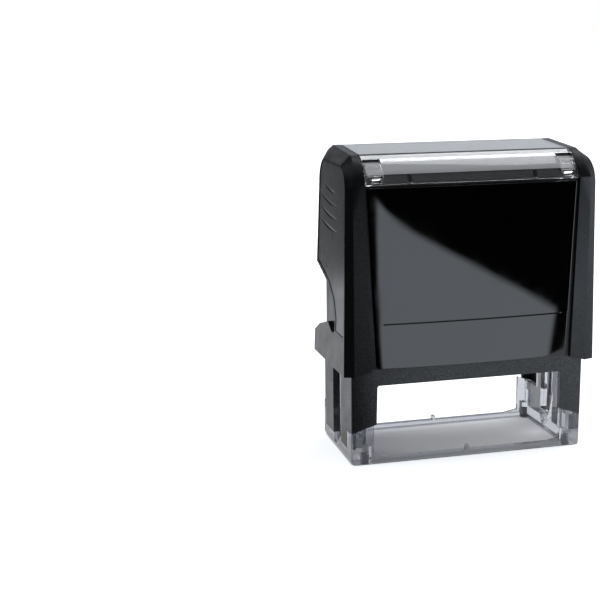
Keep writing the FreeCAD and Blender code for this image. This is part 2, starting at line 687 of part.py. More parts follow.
def clear_base():
    """Clear skirt: rails, corner walls, end walls with slot and cam track, foot bosses."""
    ring = plan_block(HALF_BASE, HALF_BASE_DEPTH, BASE_CORNER_RADIUS, 0, LEG_BOTTOM_INNER + BACK_LEG_RISE)
    rounded = prism_y([
        (-HALF_BASE, 0, BASE_HEEL_RADIUS),
        (HALF_BASE, 0, BASE_HEEL_RADIUS),
        (HALF_BASE, 40, 0),
        (-HALF_BASE, 40, 0),
    ], -20, 20)
    inside = box(-RAIL_INNER_X, RAIL_INNER_X, -RAIL_INNER_Y, RAIL_INNER_Y, -1, 40)
    rails = box(-LEG_INNER_X - 0.9, LEG_INNER_X + 0.9, -20, 20, RAIL_HEIGHT, 40)
    hollow = box(LEG_INNER_X, TRACK_WALL_INNER - 0.3, RAIL_INNER_Y - 1, CORNER_WALL_Y, RAIL_HEIGHT, 40)
    filled = ring.common(rounded).common(join(
        leg_space(0.05, -1), [leg_space(0.05, 1), mirror_x(leg_space(0.05, -1)), mirror_x(leg_space(0.05, 1))]))
    pockets = []
    for piece in tongue_space(0.05):
        pockets += both_ends(piece)
    base = filled.cut([inside, rails] + four_corners(hollow) + pockets)

    wall = prism_x([
        (-RAIL_INNER_Y - 0.1, 0, 0),
        (TRACK_SILL_BACK, 0, 0),
        (TRACK_SILL_BACK - 1.0, TRACK_SILL_TOP, 1.0),
        (TRACK_WALL_BACK, TRACK_SILL_TOP + 1.0, 0.8),
        (TRACK_WALL_BACK, TRACK_WALL_TOP, 0),
        (-RAIL_INNER_Y - 0.1, TRACK_WALL_TOP, 0),
    ], TRACK_WALL_INNER - 0.3, TRACK_WALL_OUTER)
    sill = box(TRACK_WALL_INNER - 0.3, TRACK_WALL_OUTER, 0, RAIL_INNER_Y + 0.1, 0, RAIL_HEIGHT)
    skin_half = SLOT_HALF - 0.05
    skin = box(TRACK_WALL_OUTER - 0.1, HALF_BASE, -skin_half, skin_half, 0, NOTCH_FRONT_Z).common(rounded)
    boss = post(BOSS_RADIUS, FOOT_X, FOOT_Y, 0, BOSS_HEIGHT)
    boss_in = boss.common(box(0, HALF_BASE, 0, HALF_BASE_DEPTH - 0.3, 0, BOSS_HEIGHT))
    ramp = prism_y([
        (27.0, 0, 0),
        (34.0, 0, 0),
        (34.0, RAIL_HEIGHT + 1.0, 0),
        (33.0, RAIL_HEIGHT + 1.0, 0),
        (27.5, RAIL_HEIGHT, 0),
    ], CORNER_WALL_Y, HALF_BASE_DEPTH - 0.3)
    mark = box(-0.5, 0.5, RAIL_INNER_Y, HALF_BASE_DEPTH - 0.2, 0, RAIL_HEIGHT + 1.5)
    pieces = both_ends(wall) + both_ends(sill) + both_ends(skin) + four_corners(boss_in)
    pieces += four_corners(ramp) + [mark, mirror_y(mark)]
    base = join(base, pieces)

    slot_half = AXLE_RADIUS + 0.15
    axle_slot = box(
        TRACK_WALL_INNER - 1, TRACK_WALL_OUTER + 0.05,
        -slot_half, slot_half, FACE_TO_AXLE, TRACK_WALL_TOP + 1)
    slot_end = rod(slot_half, TRACK_WALL_INNER - 1, TRACK_WALL_OUTER + 0.05, 0, FACE_TO_AXLE)
    notch = prism_x([
        (-skin_half, NOTCH_FRONT_Z, 0),
        (NOTCH_TIP[0], NOTCH_TIP[1], 0.6),
        (skin_half, NOTCH_BACK_Z, 0),
        (skin_half, TRACK_WALL_TOP, 0),
        (-skin_half, TRACK_WALL_TOP, 0),
    ], TRACK_WALL_OUTER, HALF_BASE + 1)
    track = cam_path(
        CAM_PIN_RADIUS + CAM_CLEARANCE,
        TRACK_WALL_INNER - 1,
        TRACK_WALL_INNER + CAM_DEPTH)
    foot_hole = post(FOOT_RADIUS, FOOT_X, FOOT_Y, -1, FOOT_HEIGHT)
    cuts = both_ends(axle_slot) + both_ends(slot_end) + both_ends(notch) + both_ends(track)
    return base.cut(cuts + four_corners(foot_hole))


def foot(side_x, side_y):
    """Rubber foot plug in its corner boss."""
    return post(FOOT_RADIUS, side_x * FOOT_X, side_y * FOOT_Y, 0, FOOT_HEIGHT)


# ---- die ----------------------------------------------------------------
def rubber_die():
    """Moulded rubber plate with a plain raised border."""
    top = AXLE_REST + FACE_TO_AXLE
    back = plan_block(DIE_WIDTH / 2, DIE_DEPTH / 2, 0, top - DIE_RUBBER, top - RELIEF)
    border = plan_block(DIE_WIDTH / 2 - 0.3, DIE_DEPTH / 2 - 0.3, 0, top - RELIEF, top)
    inner = plan_block(DIE_WIDTH / 2 - 1.8, DIE_DEPTH / 2 - 1.8, 0, top - RELIEF, top)
    bars = []
    for y in (-6.0, 0.0, 6.0):
        bars.append(box(-27.0, 27.0, y - 1.2, y + 1.2, top - RELIEF, top))
    return join(back, [border.cut(inner)] + bars)


def die_cushion():
    """Foam layer between the holder and the rubber."""
    top = AXLE_REST + FACE_TO_AXLE - DIE_RUBBER
    return plan_block(DIE_WIDTH / 2, DIE_DEPTH / 2, 0, top - DIE_FOAM, top)


def die_holder():
    """Holder plate with ribs, end cheeks, axle stubs and cam pins."""
    top = AXLE_REST + FACE_TO_AXLE - DIE_RUBBER - DIE_FOAM
    plate = plan_block(DIE_WIDTH / 2, DIE_DEPTH / 2, 0.5, top - HOLDER_PLATE, top)
    beam = prism_x([
        (-3.0, AXLE_REST - 1.6, 0),
        (-1.6, AXLE_REST - 3.0, 0),
        (1.6, AXLE_REST - 3.0, 0),
        (3.0, AXLE_REST - 1.6, 0),
        (3.0, AXLE_REST + 2.4, 0),
        (-3.0, AXLE_REST + 2.4, 0),
    ], -CHEEK_INNER, CHEEK_INNER)
    rib = box(-0.6, 0.6, -10.5, 10.5, AXLE_REST - 1.0, top - HOLDER_PLATE + 0.1)
    ribs = []
    for x in (-28, -18, -9, 0, 9, 18, 28):
        ribs.append(rib.translated(Vector(x, 0, 0)))
    spine = box(-CHEEK_INNER, CHEEK_INNER, -0.8, 0.8, AXLE_REST, top - HOLDER_PLATE + 0.1)
    cheek = prism_x([
        (-8.0, top - 0.2, 1.0),
        (-4.2, AXLE_REST - 4.4, 3.5),
        (4.2, AXLE_REST - 4.4, 3.5),
        (8.0, top - 0.2, 1.0),
    ], CHEEK_INNER, CHEEK_OUTER)
    stub = rod(AXLE_RADIUS, CHEEK_OUTER - 0.5, BOW_OUTER - 0.1, 0, AXLE_REST)
    pin_tip = TRACK_WALL_INNER + CAM_DEPTH - 0.2
    pin = rod(CAM_PIN_RADIUS, CHEEK_OUTER - 0.5, pin_tip, 0, AXLE_REST + CAM_THROW)
    pieces = [beam, spine] + ribs + both_ends(cheek) + both_ends(stub) + both_ends(pin)
    return join(plate, pieces)


# ---- ink cartridge ------------------------------------------------------
def cartridge_tray():
    """Tray open downwards over the felt, with a grip bar behind it."""
    tray = box(-TRAY_HALF_X, TRAY_HALF_X, TRAY_FRONT, TRAY_BACK, TRAY_BOTTOM, TRAY_TOP)
    well = box(-PAD_HALF_X, PAD_HALF_X, -PAD_HALF_Y, PAD_HALF_Y, TRAY_BOTTOM - 1, TRAY_TOP - TRAY_ROOF)
    grip = prism_z([
        (-24.0, TRAY_BACK - 0.1, 0),
        (24.0, TRAY_BACK - 0.1, 0),
        (20.0, GRIP_BACK, 2.0),
        (-20.0, GRIP_BACK, 2.0),
    ], TRAY_BOTTOM + 1.5, TRAY_TOP - 1.5)
    scoop = prism_z([
        (-17.0, TRAY_BACK + 1.0, 0),
        (17.0, TRAY_BACK + 1.0, 0),
        (17.0, GRIP_BACK - 1.6, 1.0),
        (-17.0, GRIP_BACK - 1.6, 1.0),
    ], TRAY_BOTTOM, TRAY_TOP - 3.0)
    return join(tray, [grip]).cut([well, scoop])


def ink_pad():
    """Felt pad in the tray."""
    bottom = AXLE_REST + FACE_TO_AXLE + INK_GAP
    return plan_block(PAD_HALF_X - 0.1, PAD_HALF_Y - 0.1, 0, bottom, TRAY_TOP - TRAY_ROOF)


# ---- springs ------------------------------------------------------------
def spring_height(turn):
    """Rise of the wire's centre line after a number of turns, closed at both ends."""
    wire_gap = 2 * SPRING_WIRE + 0.1
    low = DECK_TOP + 0.05 + SPRING_WIRE
    high = BOW_BRIDGE - 0.05 - SPRING_WIRE
    pitch = (high - low - 2 * wire_gap) / SPRING_TURNS
    if turn < 1:
        return low + wire_gap * turn
    if turn > SPRING_TURNS + 1:
        return high - wire_gap * (SPRING_TURNS + 2 - turn)
    return low + wire_gap + pitch * (turn - 1)


def coil_spring(side):
    """Compression spring between the deck and the bow, with a closed turn at each end."""
    centres = []
    for step in range((SPRING_TURNS + 2) * COIL_STEPS + 1):
        turn = step / COIL_STEPS
        angle = 2 * pi * turn
        x = side * SPRING_X + SPRING_RADIUS * cos(angle)
        centres.append(Vector(x, SPRING_RADIUS * sin(angle), spring_height(turn)))
    heading = (centres[1] - centres[0]).normalize()
    circle = Part.Circle(centres[0], heading, SPRING_WIRE)
    rim = [circle.value(2 * pi * corner / WIRE_SIDES) for corner in range(WIRE_SIDES)]
    section = Part.makePolygon(rim + [rim[0]])
    return Part.makePolygon(centres).makePipeShell([section], True, False, 1)


# ---- build --------------------------------------------------------------
def export(name, shape):
    """Write one sub-part, after checking that it is a sound closed solid."""
    if not shape.isValid() or shape.Volume <= 0:
        print("unsound:", name, shape.isValid(), shape.Volume)
    if len(shape.Solids) != 1:
        print("solids:", name, len(shape.Solids))
    shape.exportStep("parts/%s.step" % name)


def main():
    """Build every sub-part and write it."""
    os.makedirs("parts", exist_ok=True)
    export("clear_base", clear_base())
    for end_name, side_y in ENDS:
        for side_name, side_x in SIDES:
            export("%s_%s_foot" % (end_name, side_name), foot(side_x, side_y))
    export("lower_frame", lower_frame())
    export("cap_shell", cap_shell())
    export("front_panel", front_panel())
    for side_name, side in SIDES:
        export("%s_grip_panel" % side_name, on_side(grip_panel(), side))
        export("%s_spring" % side_name, coil_spring(side))
    export("actuator_bow", actuator_bow())
    export("index_window", index_window())
    export("index_card", index_card())
    export("die_holder", die_holder())
    export("die_cushion", die_cushion())
    export("rubber_die", rubber_die())
    export("cartridge_tray", cartridge_tray())
    export("ink_pad", ink_pad())


main()
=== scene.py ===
"""Looks of a self inking stamp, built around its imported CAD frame.

The stamp stands on a pale floor under soft studio light. Every length is in
metres, in the frame of the CAD model: +X to the right, +Y to the back, +Z up.
"""

from __future__ import annotations

import logging
import math
from dataclasses import dataclass, field
from enum import Enum
from typing import Callable, Sequence

import bmesh
import bpy
import numpy as np
from mathutils import Matrix, Vector

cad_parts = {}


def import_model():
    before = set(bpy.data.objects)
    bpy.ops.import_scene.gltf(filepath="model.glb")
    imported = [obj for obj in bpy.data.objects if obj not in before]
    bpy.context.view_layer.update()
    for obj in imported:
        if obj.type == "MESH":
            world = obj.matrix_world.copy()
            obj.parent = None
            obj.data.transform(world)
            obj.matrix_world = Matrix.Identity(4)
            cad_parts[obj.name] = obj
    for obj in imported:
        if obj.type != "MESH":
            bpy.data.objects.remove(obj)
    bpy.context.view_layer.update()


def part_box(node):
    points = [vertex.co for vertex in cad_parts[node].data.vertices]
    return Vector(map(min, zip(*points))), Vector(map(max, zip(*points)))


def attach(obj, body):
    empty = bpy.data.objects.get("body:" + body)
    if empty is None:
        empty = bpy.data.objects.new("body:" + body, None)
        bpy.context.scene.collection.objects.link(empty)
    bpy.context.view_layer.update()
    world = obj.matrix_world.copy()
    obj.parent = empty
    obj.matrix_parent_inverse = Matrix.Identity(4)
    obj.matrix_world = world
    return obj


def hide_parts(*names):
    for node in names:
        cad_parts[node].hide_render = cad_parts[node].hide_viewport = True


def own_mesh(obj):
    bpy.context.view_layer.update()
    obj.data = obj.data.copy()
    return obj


LOG = logging.getLogger("stamp")
MM = 0.001
ROUNDING_SEGMENTS = 2
NODE_SPACING = 190
NOISE_BAND = (0.3, 0.7)
WHITE = (1.0, 1.0, 1.0)
Array = np.ndarray
Piece = bpy.types.Object
Node = bpy.types.Node
Socket = bpy.types.NodeSocket
Pair = tuple[float, float]
Point = tuple[float, float, float]
Colour = tuple[float, float, float]


class Body(Enum):
    """Moving bodies of the stamp."""

    BASE = "base"
    CAP = "cap"
    WINDOW = "window"
    DIE = "die"
    CARTRIDGE = "cartridge"


# ---------------------------------------------------------------- meshes


def new_object(name: str, data: bpy.types.ID) -> Piece:
    """Put a mesh, lamp or camera into the scene.

    Args:
        name: Name of the object.
        data: What it shows.

    Returns:
        The new object, at the origin.
    """
    made = bpy.data.objects.new(name, data)
    bpy.context.scene.collection.objects.link(made)
    return made


def new_piece(name: str, vertices: Array, faces: Sequence[Sequence[int]]) -> Piece:
    """Make a mesh object from arrays.

    Args:
        name: Name of the piece.
        vertices: Points, one row each.
        faces: Corner indices of each face.

    Returns:
        The new object, at the origin.
    """
    mesh = bpy.data.meshes.new(name)
    mesh.from_pydata(np.asarray(vertices, float).tolist(), [], [list(face) for face in faces])
    mesh.validate()
    mesh.update()
    return new_object(name, mesh)


def smooth_by_angle(piece: Piece, degrees: float) -> None:
    """Shade a piece smooth, with its creases over an angle kept sharp."""
    piece.data.shade_smooth()
    piece.data.set_sharp_from_angle(angle=math.radians(degrees))


def round_edges(piece: Piece, width: float, degrees: float) -> bpy.types.Modifier:
    """Round every edge of a piece that is sharper than an angle.

    Args:
        piece: Piece to round.
        width: Width of the rounding.
        degrees: Smallest angle that is rounded.

    Returns:
        The bevel modifier.
    """
    rounding = piece.modifiers.new("edge rounding", "BEVEL")
    rounding.width = width
    rounding.segments = ROUNDING_SEGMENTS
    rounding.limit_method = "ANGLE"
    rounding.angle_limit = math.radians(degrees)
    return rounding


def plate_between(outer: Array, inner: Array, keep: Array) -> tuple[Array, Array]:
    """Closed plate between two grids of points, with openings where cells are dropped.

    Cell (i, j) has the corners (i, j), (i + 1, j), (i + 1, j + 1) and (i, j + 1).
    The outer and inner skins are joined by a wall wherever a kept cell meets
    the border or a dropped cell. Points that no face uses are left out.

    Args:
        outer: Outer points, rows by columns by 3.
        inner: Inner points, the same shape.
        keep: True for each cell that is solid.

    Returns:
        Vertices and quads, facing outwards when rows x columns points outwards.
    """
    rows, columns = outer.shape[:2]
    count = rows * columns
    vertices = np.concatenate([outer.reshape(-1, 3), inner.reshape(-1, 3)])
    index = np.arange(count).reshape(rows, columns)
    skin = np.stack([index[:-1, :-1], index[1:, :-1], index[1:, 1:], index[:-1, 1:]], -1)[keep]
    faces = [skin, skin[:, ::-1] + count]
    padded = np.pad(keep, 1)
    across_rows = (index[:, :-1], index[:, 1:], padded[:-1, 1:-1], padded[1:, 1:-1])
    across_columns = (index[1:, :], index[:-1, :], padded[1:-1, :-1], padded[1:-1, 1:])
    for start, end, before, after in (across_rows, across_columns):
        for first, second, edge in ((start, end, after & ~before), (end, start, before & ~after)):
            faces.append(np.stack([first, second, second + count, first + count], -1)[edge])
    quads = np.concatenate(faces)
    used, renumbered = np.unique(quads, return_inverse=True)
    return vertices[used], renumbered.reshape(quads.shape)


def tube(name: str, path: Array, radius: float, sides: int) -> Piece:
    """Round tube along a path, closed at both ends.

    Point (i, j) is path[i] + radius (cos a_j n_i + sin a_j b_i), where n_i and
    b_i are square to the path's direction.

    Args:
        name: Name of the piece.
        path: Points of the centre line.
        radius: Radius of the tube.
        sides: Points round the tube.

    Returns:
        The new object.
    """
    heading = np.gradient(path, axis=0)
    heading /= np.linalg.norm(heading, axis=1, keepdims=True)
    normal = np.cross(heading, np.array([0.0, 0.0, 1.0]))
    normal /= np.linalg.norm(normal, axis=1, keepdims=True)
    binormal = np.cross(heading, normal)
    angle = np.linspace(0, 2 * np.pi, sides, endpoint=False)[None, :, None]
    ring = normal[:, None] * np.cos(angle) + binormal[:, None] * np.sin(angle)
    points = (path[:, None] + radius * ring).reshape(-1, 3)
    i = np.arange(len(path) - 1)[:, None] * sides
    j = np.arange(sides)[None, :]
    k = (j + 1) % sides
    quads = np.stack([i + j, i + k, i + sides + k, i + sides + j], -1).reshape(-1, 4)
    last = (len(path) - 1) * sides
    ends = [list(range(sides))[::-1], list(range(last, last + sides))]
    return new_piece(name, points, quads.tolist() + ends)


def softened_copy(node: str, name: str, width: float) -> Piece:
    """Copy of a CAD node with its edges rounded over.

    The copy's loose triangles are merged and its flat faces joined, then a
    bevel modifier rounds every edge sharper than its angle limit.

    Args:
        node: CAD node to copy.
        name: Name of the new piece.
        width: Width of the rounding.

    Returns:
        The new object, which still has to ride on its body.
    """
    same_point = 0.002 * MM
    same_plane = math.radians(1.2)
    mesh = bpy.data.objects[node].data.copy()
    mesh.name = name
    mesh.materials.clear()
    work = bmesh.new()
    work.from_mesh(mesh)
    bmesh.ops.remove_doubles(work, verts=work.verts, dist=same_point)
    bmesh.ops.dissolve_limit(
        work, angle_limit=same_plane, verts=work.verts, edges=work.edges, delimit=set())
    bmesh.ops.recalc_face_normals(work, faces=work.faces)
    work.to_mesh(mesh)
    work.free()
    if mesh.attributes.get("custom_normal"):
        mesh.attributes.remove(mesh.attributes["custom_normal"])
    piece = new_object(name, mesh)
    smooth_by_angle(piece, 32)
    rounding = round_edges(piece, width, 28)
    rounding.miter_outer = "MITER_ARC"
    even = piece.modifiers.new("even shading", "WEIGHTED_NORMAL")
    even.keep_sharp = True
    even.weight = 60
    return piece


def draw_in_ends(piece: Piece, share: float) -> None:
    """Shorten a piece along X by a small share, so that it runs clear of the guides at its ends.

    Args:
        piece: Piece centred on X = 0.
        share: Part of its length that is taken off.
    """
    mesh = piece.data
    points = np.empty(3 * len(mesh.vertices), np.float32)
    mesh.vertices.foreach_get("co", points)
    points[0::3] *= 1 - share
    mesh.vertices.foreach_set("co", points)
    mesh.update()


# ---------------------------------------------------------------- shader tools


class NodeSheet:
    """Short way to place and link shader nodes in a tree."""

    def __init__(self, tree: bpy.types.NodeTree) -> None:
        """Start an empty sheet on a node tree."""
        self.tree = tree
        tree.nodes.clear()

    def add(self, kind: str, **values: object) -> Node:
        """Place a node to the right of the last one.

        Args:
            kind: Blender's node type.
            values: Node properties, or input values when the name is an input.

        Returns:
            The node.
        """
        place = (len(self.tree.nodes) * NODE_SPACING, 0)
        node = self.tree.nodes.new(kind)
        node.location = place
        for key, value in values.items():
            if hasattr(node, key):
                setattr(node, key, value)
            else:
                node.inputs[key.replace("_", " ")].default_value = value
        return node

    def link(self, source: Socket, target: Socket) -> None:
        """Join an output to an input."""
        self.tree.links.new(source, target)

    def feed(self, target: Socket, value: object) -> None:
        """Give an input another socket's value or a fixed one.

        Args:
            target: The input.
            value: Socket, number or tuple of numbers.
        """
        if isinstance(value, Socket):
            self.link(value, target)
        else:
            target.default_value = value

    def show(self, surface: Socket, output: str = "ShaderNodeOutputMaterial") -> None:
        """Send a shader to the tree's output."""
        self.link(surface, self.add(output).inputs["Surface"])

    def axes(self) -> list[Socket]:
        """Split the object coordinates.

        Returns:
            X, Y and Z.
        """
        split = self.add("ShaderNodeSeparateXYZ")
        self.link(self.add("ShaderNodeTexCoord").outputs["Object"], split.inputs["Vector"])
        return list(split.outputs)

    def maths(self, operation: str, *terms: Socket | float) -> Socket:
        """Arithmetic on sockets and numbers.

        Args:
            operation: Blender's name of the operation.
            terms: Sockets or numbers, in order.

        Returns:
            The result's socket.
        """
        node = self.add("ShaderNodeMath", operation=operation)
        for slot, term in zip(node.inputs, terms):
            self.feed(slot, term)
        return node.outputs[0]

    def spread(self, value: Socket, low: float, high: float, out_low: float, out_high: float) -> Socket:
        """Map a range of a value onto another range, clamped.

        Args:
            value: Value to map.
            low: Input that gives out_low.
            high: Input that gives out_high.
            out_low: Output at low.
            out_high: Output at high.

        Returns:
            The mapped value.
        """
        node = self.add("ShaderNodeMapRange", From_Min=low, From_Max=high, To_Min=out_low, To_Max=out_high)
        self.link(value, node.inputs["Value"])
        return node.outputs["Result"]

    def tint(self, mask: Socket, first: Colour, second: Colour) -> Socket:
        """Mix of two fixed colours by a mask.

        Args:
            mask: 0 gives the first colour, 1 the second.
            first: Linear red, green and blue.
            second: Linear red, green and blue.

        Returns:
            The colour.
        """
        node = self.add("ShaderNodeMix", data_type="RGBA")
        self.link(mask, node.inputs["Factor"])
        node.inputs["A"].default_value = (*first, 1)
        node.inputs["B"].default_value = (*second, 1)
        return node.outputs["Result"]


def new_material(name: str) -> tuple[bpy.types.Material, NodeSheet]:
    """Start a material.

    Args:
        name: Name of the material.

    Returns:
        The material and its empty sheet.
    """
    material = bpy.data.materials.new(name)
    material.use_nodes = True
    return material, NodeSheet(material.node_tree)


def shade(colour: Colour, share: float, lift: float = 0.0) -> Colour:
    """Take a share of a colour and add an even lift to it, up to white."""
    return tuple(min(1.0, share * channel + lift) for channel in colour)


def group_sheet(name: str, inputs: dict[str, float], outputs: Sequence[str]) -> tuple[NodeSheet, Node, Node]:
    """New shader node group with value sockets and a point.

    Args:
        name: Name of the group.
        inputs: Input names with their default values.
        outputs: Output names.

    Returns:
        The sheet, its group input node and its group output node.
    """
    tree = bpy.data.node_groups.new(name, "ShaderNodeTree")
    for key, value in inputs.items():
        socket = tree.interface.new_socket(name=key, in_out="INPUT", socket_type="NodeSocketFloat")
        socket.default_value = value
    tree.interface.new_socket(name="Point", in_out="INPUT", socket_type="NodeSocketVector")
    for key in outputs:
        tree.interface.new_socket(name=key, in_out="OUTPUT", socket_type="NodeSocketFloat")
    sheet = NodeSheet(tree)
    return sheet, sheet.add("NodeGroupInput"), sheet.add("NodeGroupOutput")


def grain_group() -> bpy.types.NodeTree:
    """Spark eroded mould grain: fine pits over a faint larger mottling.

    Returns:
        Group with the outputs Height and Mottle, both around 0 to 1.
    """
    sheet, given, result = group_sheet(
        "mould grain", {"Size": 0.25 * MM, "Coarseness": 0.5}, ["Height", "Mottle"])
    scale = sheet.maths("DIVIDE", 1.0, given.outputs["Size"])
    pits = sheet.add("ShaderNodeTexNoise", Detail=2.0, Roughness=0.6)
    cells = sheet.add("ShaderNodeTexVoronoi", feature="SMOOTH_F1")
    mottle = sheet.add("ShaderNodeTexNoise", Detail=3.0, Scale=160.0)
    for texture in (pits, cells, mottle):
        sheet.link(given.outputs["Point"], texture.inputs["Vector"])
    for texture in (pits, cells):
        sheet.link(scale, texture.inputs["Scale"])
    blend = sheet.add("ShaderNodeMix", data_type="FLOAT")
    sheet.link(given.outputs["Coarseness"], blend.inputs["Factor"])
    sheet.link(pits.outputs["Fac"], blend.inputs["A"])
    sheet.link(cells.outputs["Distance"], blend.inputs["B"])
    sheet.link(blend.outputs["Result"], result.inputs["Height"])
    sheet.link(mottle.outputs["Fac"], result.inputs["Mottle"])
    return sheet.tree


def handling_group() -> bpy.types.NodeTree:
    """Traces of handling: broad smears of skin oil and a few fine scratches.

    Returns:
        Group with the outputs Smear and Scratch, both 0 to 1.
    """
    sheet, given, result = group_sheet(
        "handling", {"Smear Size": 9 * MM, "Scratches": 0.5}, ["Smear", "Scratch"])
    scale = sheet.maths("DIVIDE", 1.0, given.outputs["Smear Size"])
    smear = sheet.add("ShaderNodeTexNoise", Detail=4.0, Roughness=0.55, Distortion=1.2)
    stretch = sheet.add("ShaderNodeMapping", Rotation=(0.4, 0.9, 0.3), Scale=(1.0, 0.04, 1.0))
    for node in (smear, stretch):
        sheet.link(given.outputs["Point"], node.inputs["Vector"])
    sheet.link(scale, smear.inputs["Scale"])
    lines = sheet.add("ShaderNodeTexVoronoi", feature="DISTANCE_TO_EDGE", Scale=420.0)
    sheet.link(stretch.outputs["Vector"], lines.inputs["Vector"])
    thin = sheet.spread(lines.outputs["Distance"], 0.0, 0.02, 1.0, 0.0)
    sheet.link(sheet.spread(smear.outputs["Fac"], 0.42, 0.72, 0.0, 1.0), result.inputs["Smear"])
    sheet.link(sheet.maths("MULTIPLY", thin, given.outputs["Scratches"]), result.inputs["Scratch"])
    return sheet.tree


def dust_group() -> bpy.types.NodeTree:
    """Fine dust that settles on faces that look up.

    Returns:
        Group with the output Dust, 0 to 1.
    """
    sheet, given, result = group_sheet("dust", {"Amount": 0.3}, ["Dust"])
    split = sheet.add("ShaderNodeSeparateXYZ")
    sheet.link(sheet.add("ShaderNodeNewGeometry").outputs["Normal"], split.inputs["Vector"])
    upward = sheet.spread(split.outputs["Z"], 0.2, 0.95, 0.0, 1.0)
    specks = sheet.add("ShaderNodeTexNoise", Detail=5.0, Scale=900.0, Roughness=0.7)
    sheet.link(given.outputs["Point"], specks.inputs["Vector"])
    scattered = sheet.spread(specks.outputs["Fac"], 0.45, 0.8, 0.1, 1.0)
    dust = sheet.maths("MULTIPLY", sheet.maths("MULTIPLY", upward, scattered), given.outputs["Amount"])
    sheet.link(dust, result.inputs["Dust"])
    return sheet.tree


class Effects:
    """The shared shader groups, each built once."""

    def __init__(self) -> None:
        """Build the groups."""
        self.grain = grain_group()
        self.handling = handling_group()
        self.dust = dust_group()


@dataclass
class Coat:
    """A material in the making: its sheet, its shader, its coordinates and the shared groups."""

    sheet: NodeSheet
    shader: Node
    point: Socket
    effects: Effects

    def group(self, tree: bpy.types.NodeTree, **values: float) -> Node:
        """Place a shared group that reads the coat's coordinates.

        Args:
            tree: The group.
            values: Input values of this material.

        Returns:
            The group node.
        """
        node = self.sheet.add("ShaderNodeGroup", node_tree=tree, **values)
        self.sheet.link(self.point, node.inputs["Point"])
        return node

    def noise(self, **values: float) -> Socket:
        """Place a noise texture that reads the coat's coordinates.

        Args:
            values: Input values of the texture.

        Returns:
            The noise, 0 to 1.
        """
        node = self.sheet.add("ShaderNodeTexNoise", **values)
        self.sheet.link(self.point, node.inputs["Vector"])
        return node.outputs["Fac"]

    def give(self, **values: object) -> None:
        """Give inputs of the shader a socket or a fixed value each."""
        for key, value in values.items():
            self.sheet.feed(self.shader.inputs[key.replace("_", " ")], value)

    def vary(self, noise: Socket, low: float, high: float) -> Socket:
        """Let a value run from low to high over the band where a noise mostly lies."""
        return self.sheet.spread(noise, *NOISE_BAND, low, high)

    def bump(self, height: Socket, depth: float) -> None:
        """Drive the shader's normal with a height.

        Args:
            height: Height, 0 to 1.
            depth: Depth of a full step.
        """
        node = self.sheet.add("ShaderNodeBump", Distance=depth, Strength=1.0)
        self.sheet.link(height, node.inputs["Height"])
        self.give(Normal=node.outputs["Normal"])


# ---------------------------------------------------------------- finishes


@dataclass(frozen=True)
class Finish:
    """A surface finish: its name and the record's material slot it belongs to."""

    name: str
    slot: str

    def material(self, effects: Effects) -> bpy.types.Material:
        """Build the material.

        Args:
            effects: The shared shader groups.

        Returns:
            The material.
        """
        material, sheet = new_material(self.name)
        point = sheet.add("ShaderNodeTexCoord").outputs["Object"]
        coat = Coat(sheet, sheet.add("ShaderNodeBsdfPrincipled"), point, effects)
        self.paint(coat)
        sheet.show(self.surface(coat))
        return material

    def surface(self, coat: Coat) -> Socket:
        """Give the shader output that goes to the material's surface."""
        return coat.shader.outputs["BSDF"]

    def paint(self, coat: Coat) -> None:
        """Wire the finish's own nodes into the shader."""
        raise NotImplementedError


@dataclass(frozen=True)
class MouldedPlastic(Finish):
    """Opaque moulded plastic with a spark eroded grain."""

    colour: Colour = (0.0045, 0.0045, 0.0048)
    roughness: float = 0.35
    grain_size: float = 0.4 * MM
    grain_depth: float = 0.012 * MM
    dust: float = 0.05
    specular: float = 0.5

    def paint(self, coat: Coat) -> None:
        """Grain in the normal and the sheen, mottling and smears in the roughness, dust in the colour.

        Args:
            coat: The material in the making.
        """
        grain = coat.group(coat.effects.grain, Size=self.grain_size, Coarseness=0.45)
        touch = coat.group(coat.effects.handling, Scratches=0.25)
        dust = coat.group(coat.effects.dust, Amount=self.dust)
        mottled = coat.vary(grain.outputs["Mottle"], self.roughness - 0.03, self.roughness + 0.04)
        polished = coat.sheet.maths("MULTIPLY", touch.outputs["Smear"], 0.06)
        dusty = shade(self.colour, 0.75, 0.06)
        coat.give(
            Roughness=coat.sheet.maths("SUBTRACT", mottled, polished),
            Base_Color=coat.sheet.tint(dust.outputs["Dust"], self.colour, dusty),
            Specular_IOR_Level=coat.vary(grain.outputs["Height"], 0.65 * self.specular, 1.35 * self.specular),
            Specular_Tint=(0.92, 0.96, 1.0, 1))
        coat.bump(grain.outputs["Height"], self.grain_depth)


@dataclass(frozen=True)
class GlossPlastic(Finish):
    """Polished black plastic with a faint moulding wave and light handling marks."""

    colour: Colour = (0.0012, 0.0012, 0.0014)
    roughness: float = 0.035
    wear: float = 0.035

    def paint(self, coat: Coat) -> None:
        """Smears and scratches in the roughness, a long shallow wave in the normal.

        Args:
            coat: The material in the making.
        """
        touch = coat.group(coat.effects.handling, Scratches=0.2, Smear_Size=14 * MM)
        wave = coat.noise(Scale=55.0, Detail=1.0)
        smeared = coat.sheet.spread(
            touch.outputs["Smear"], 0.0, 1.0, self.roughness, self.roughness + self.wear)
        coat.give(
            Roughness=coat.sheet.maths("MULTIPLY_ADD", touch.outputs["Scratch"], 0.05, smeared),
            Base_Color=coat.sheet.tint(wave, self.colour, shade(self.colour, 0.6)))
        coat.bump(wave, 0.02 * MM)


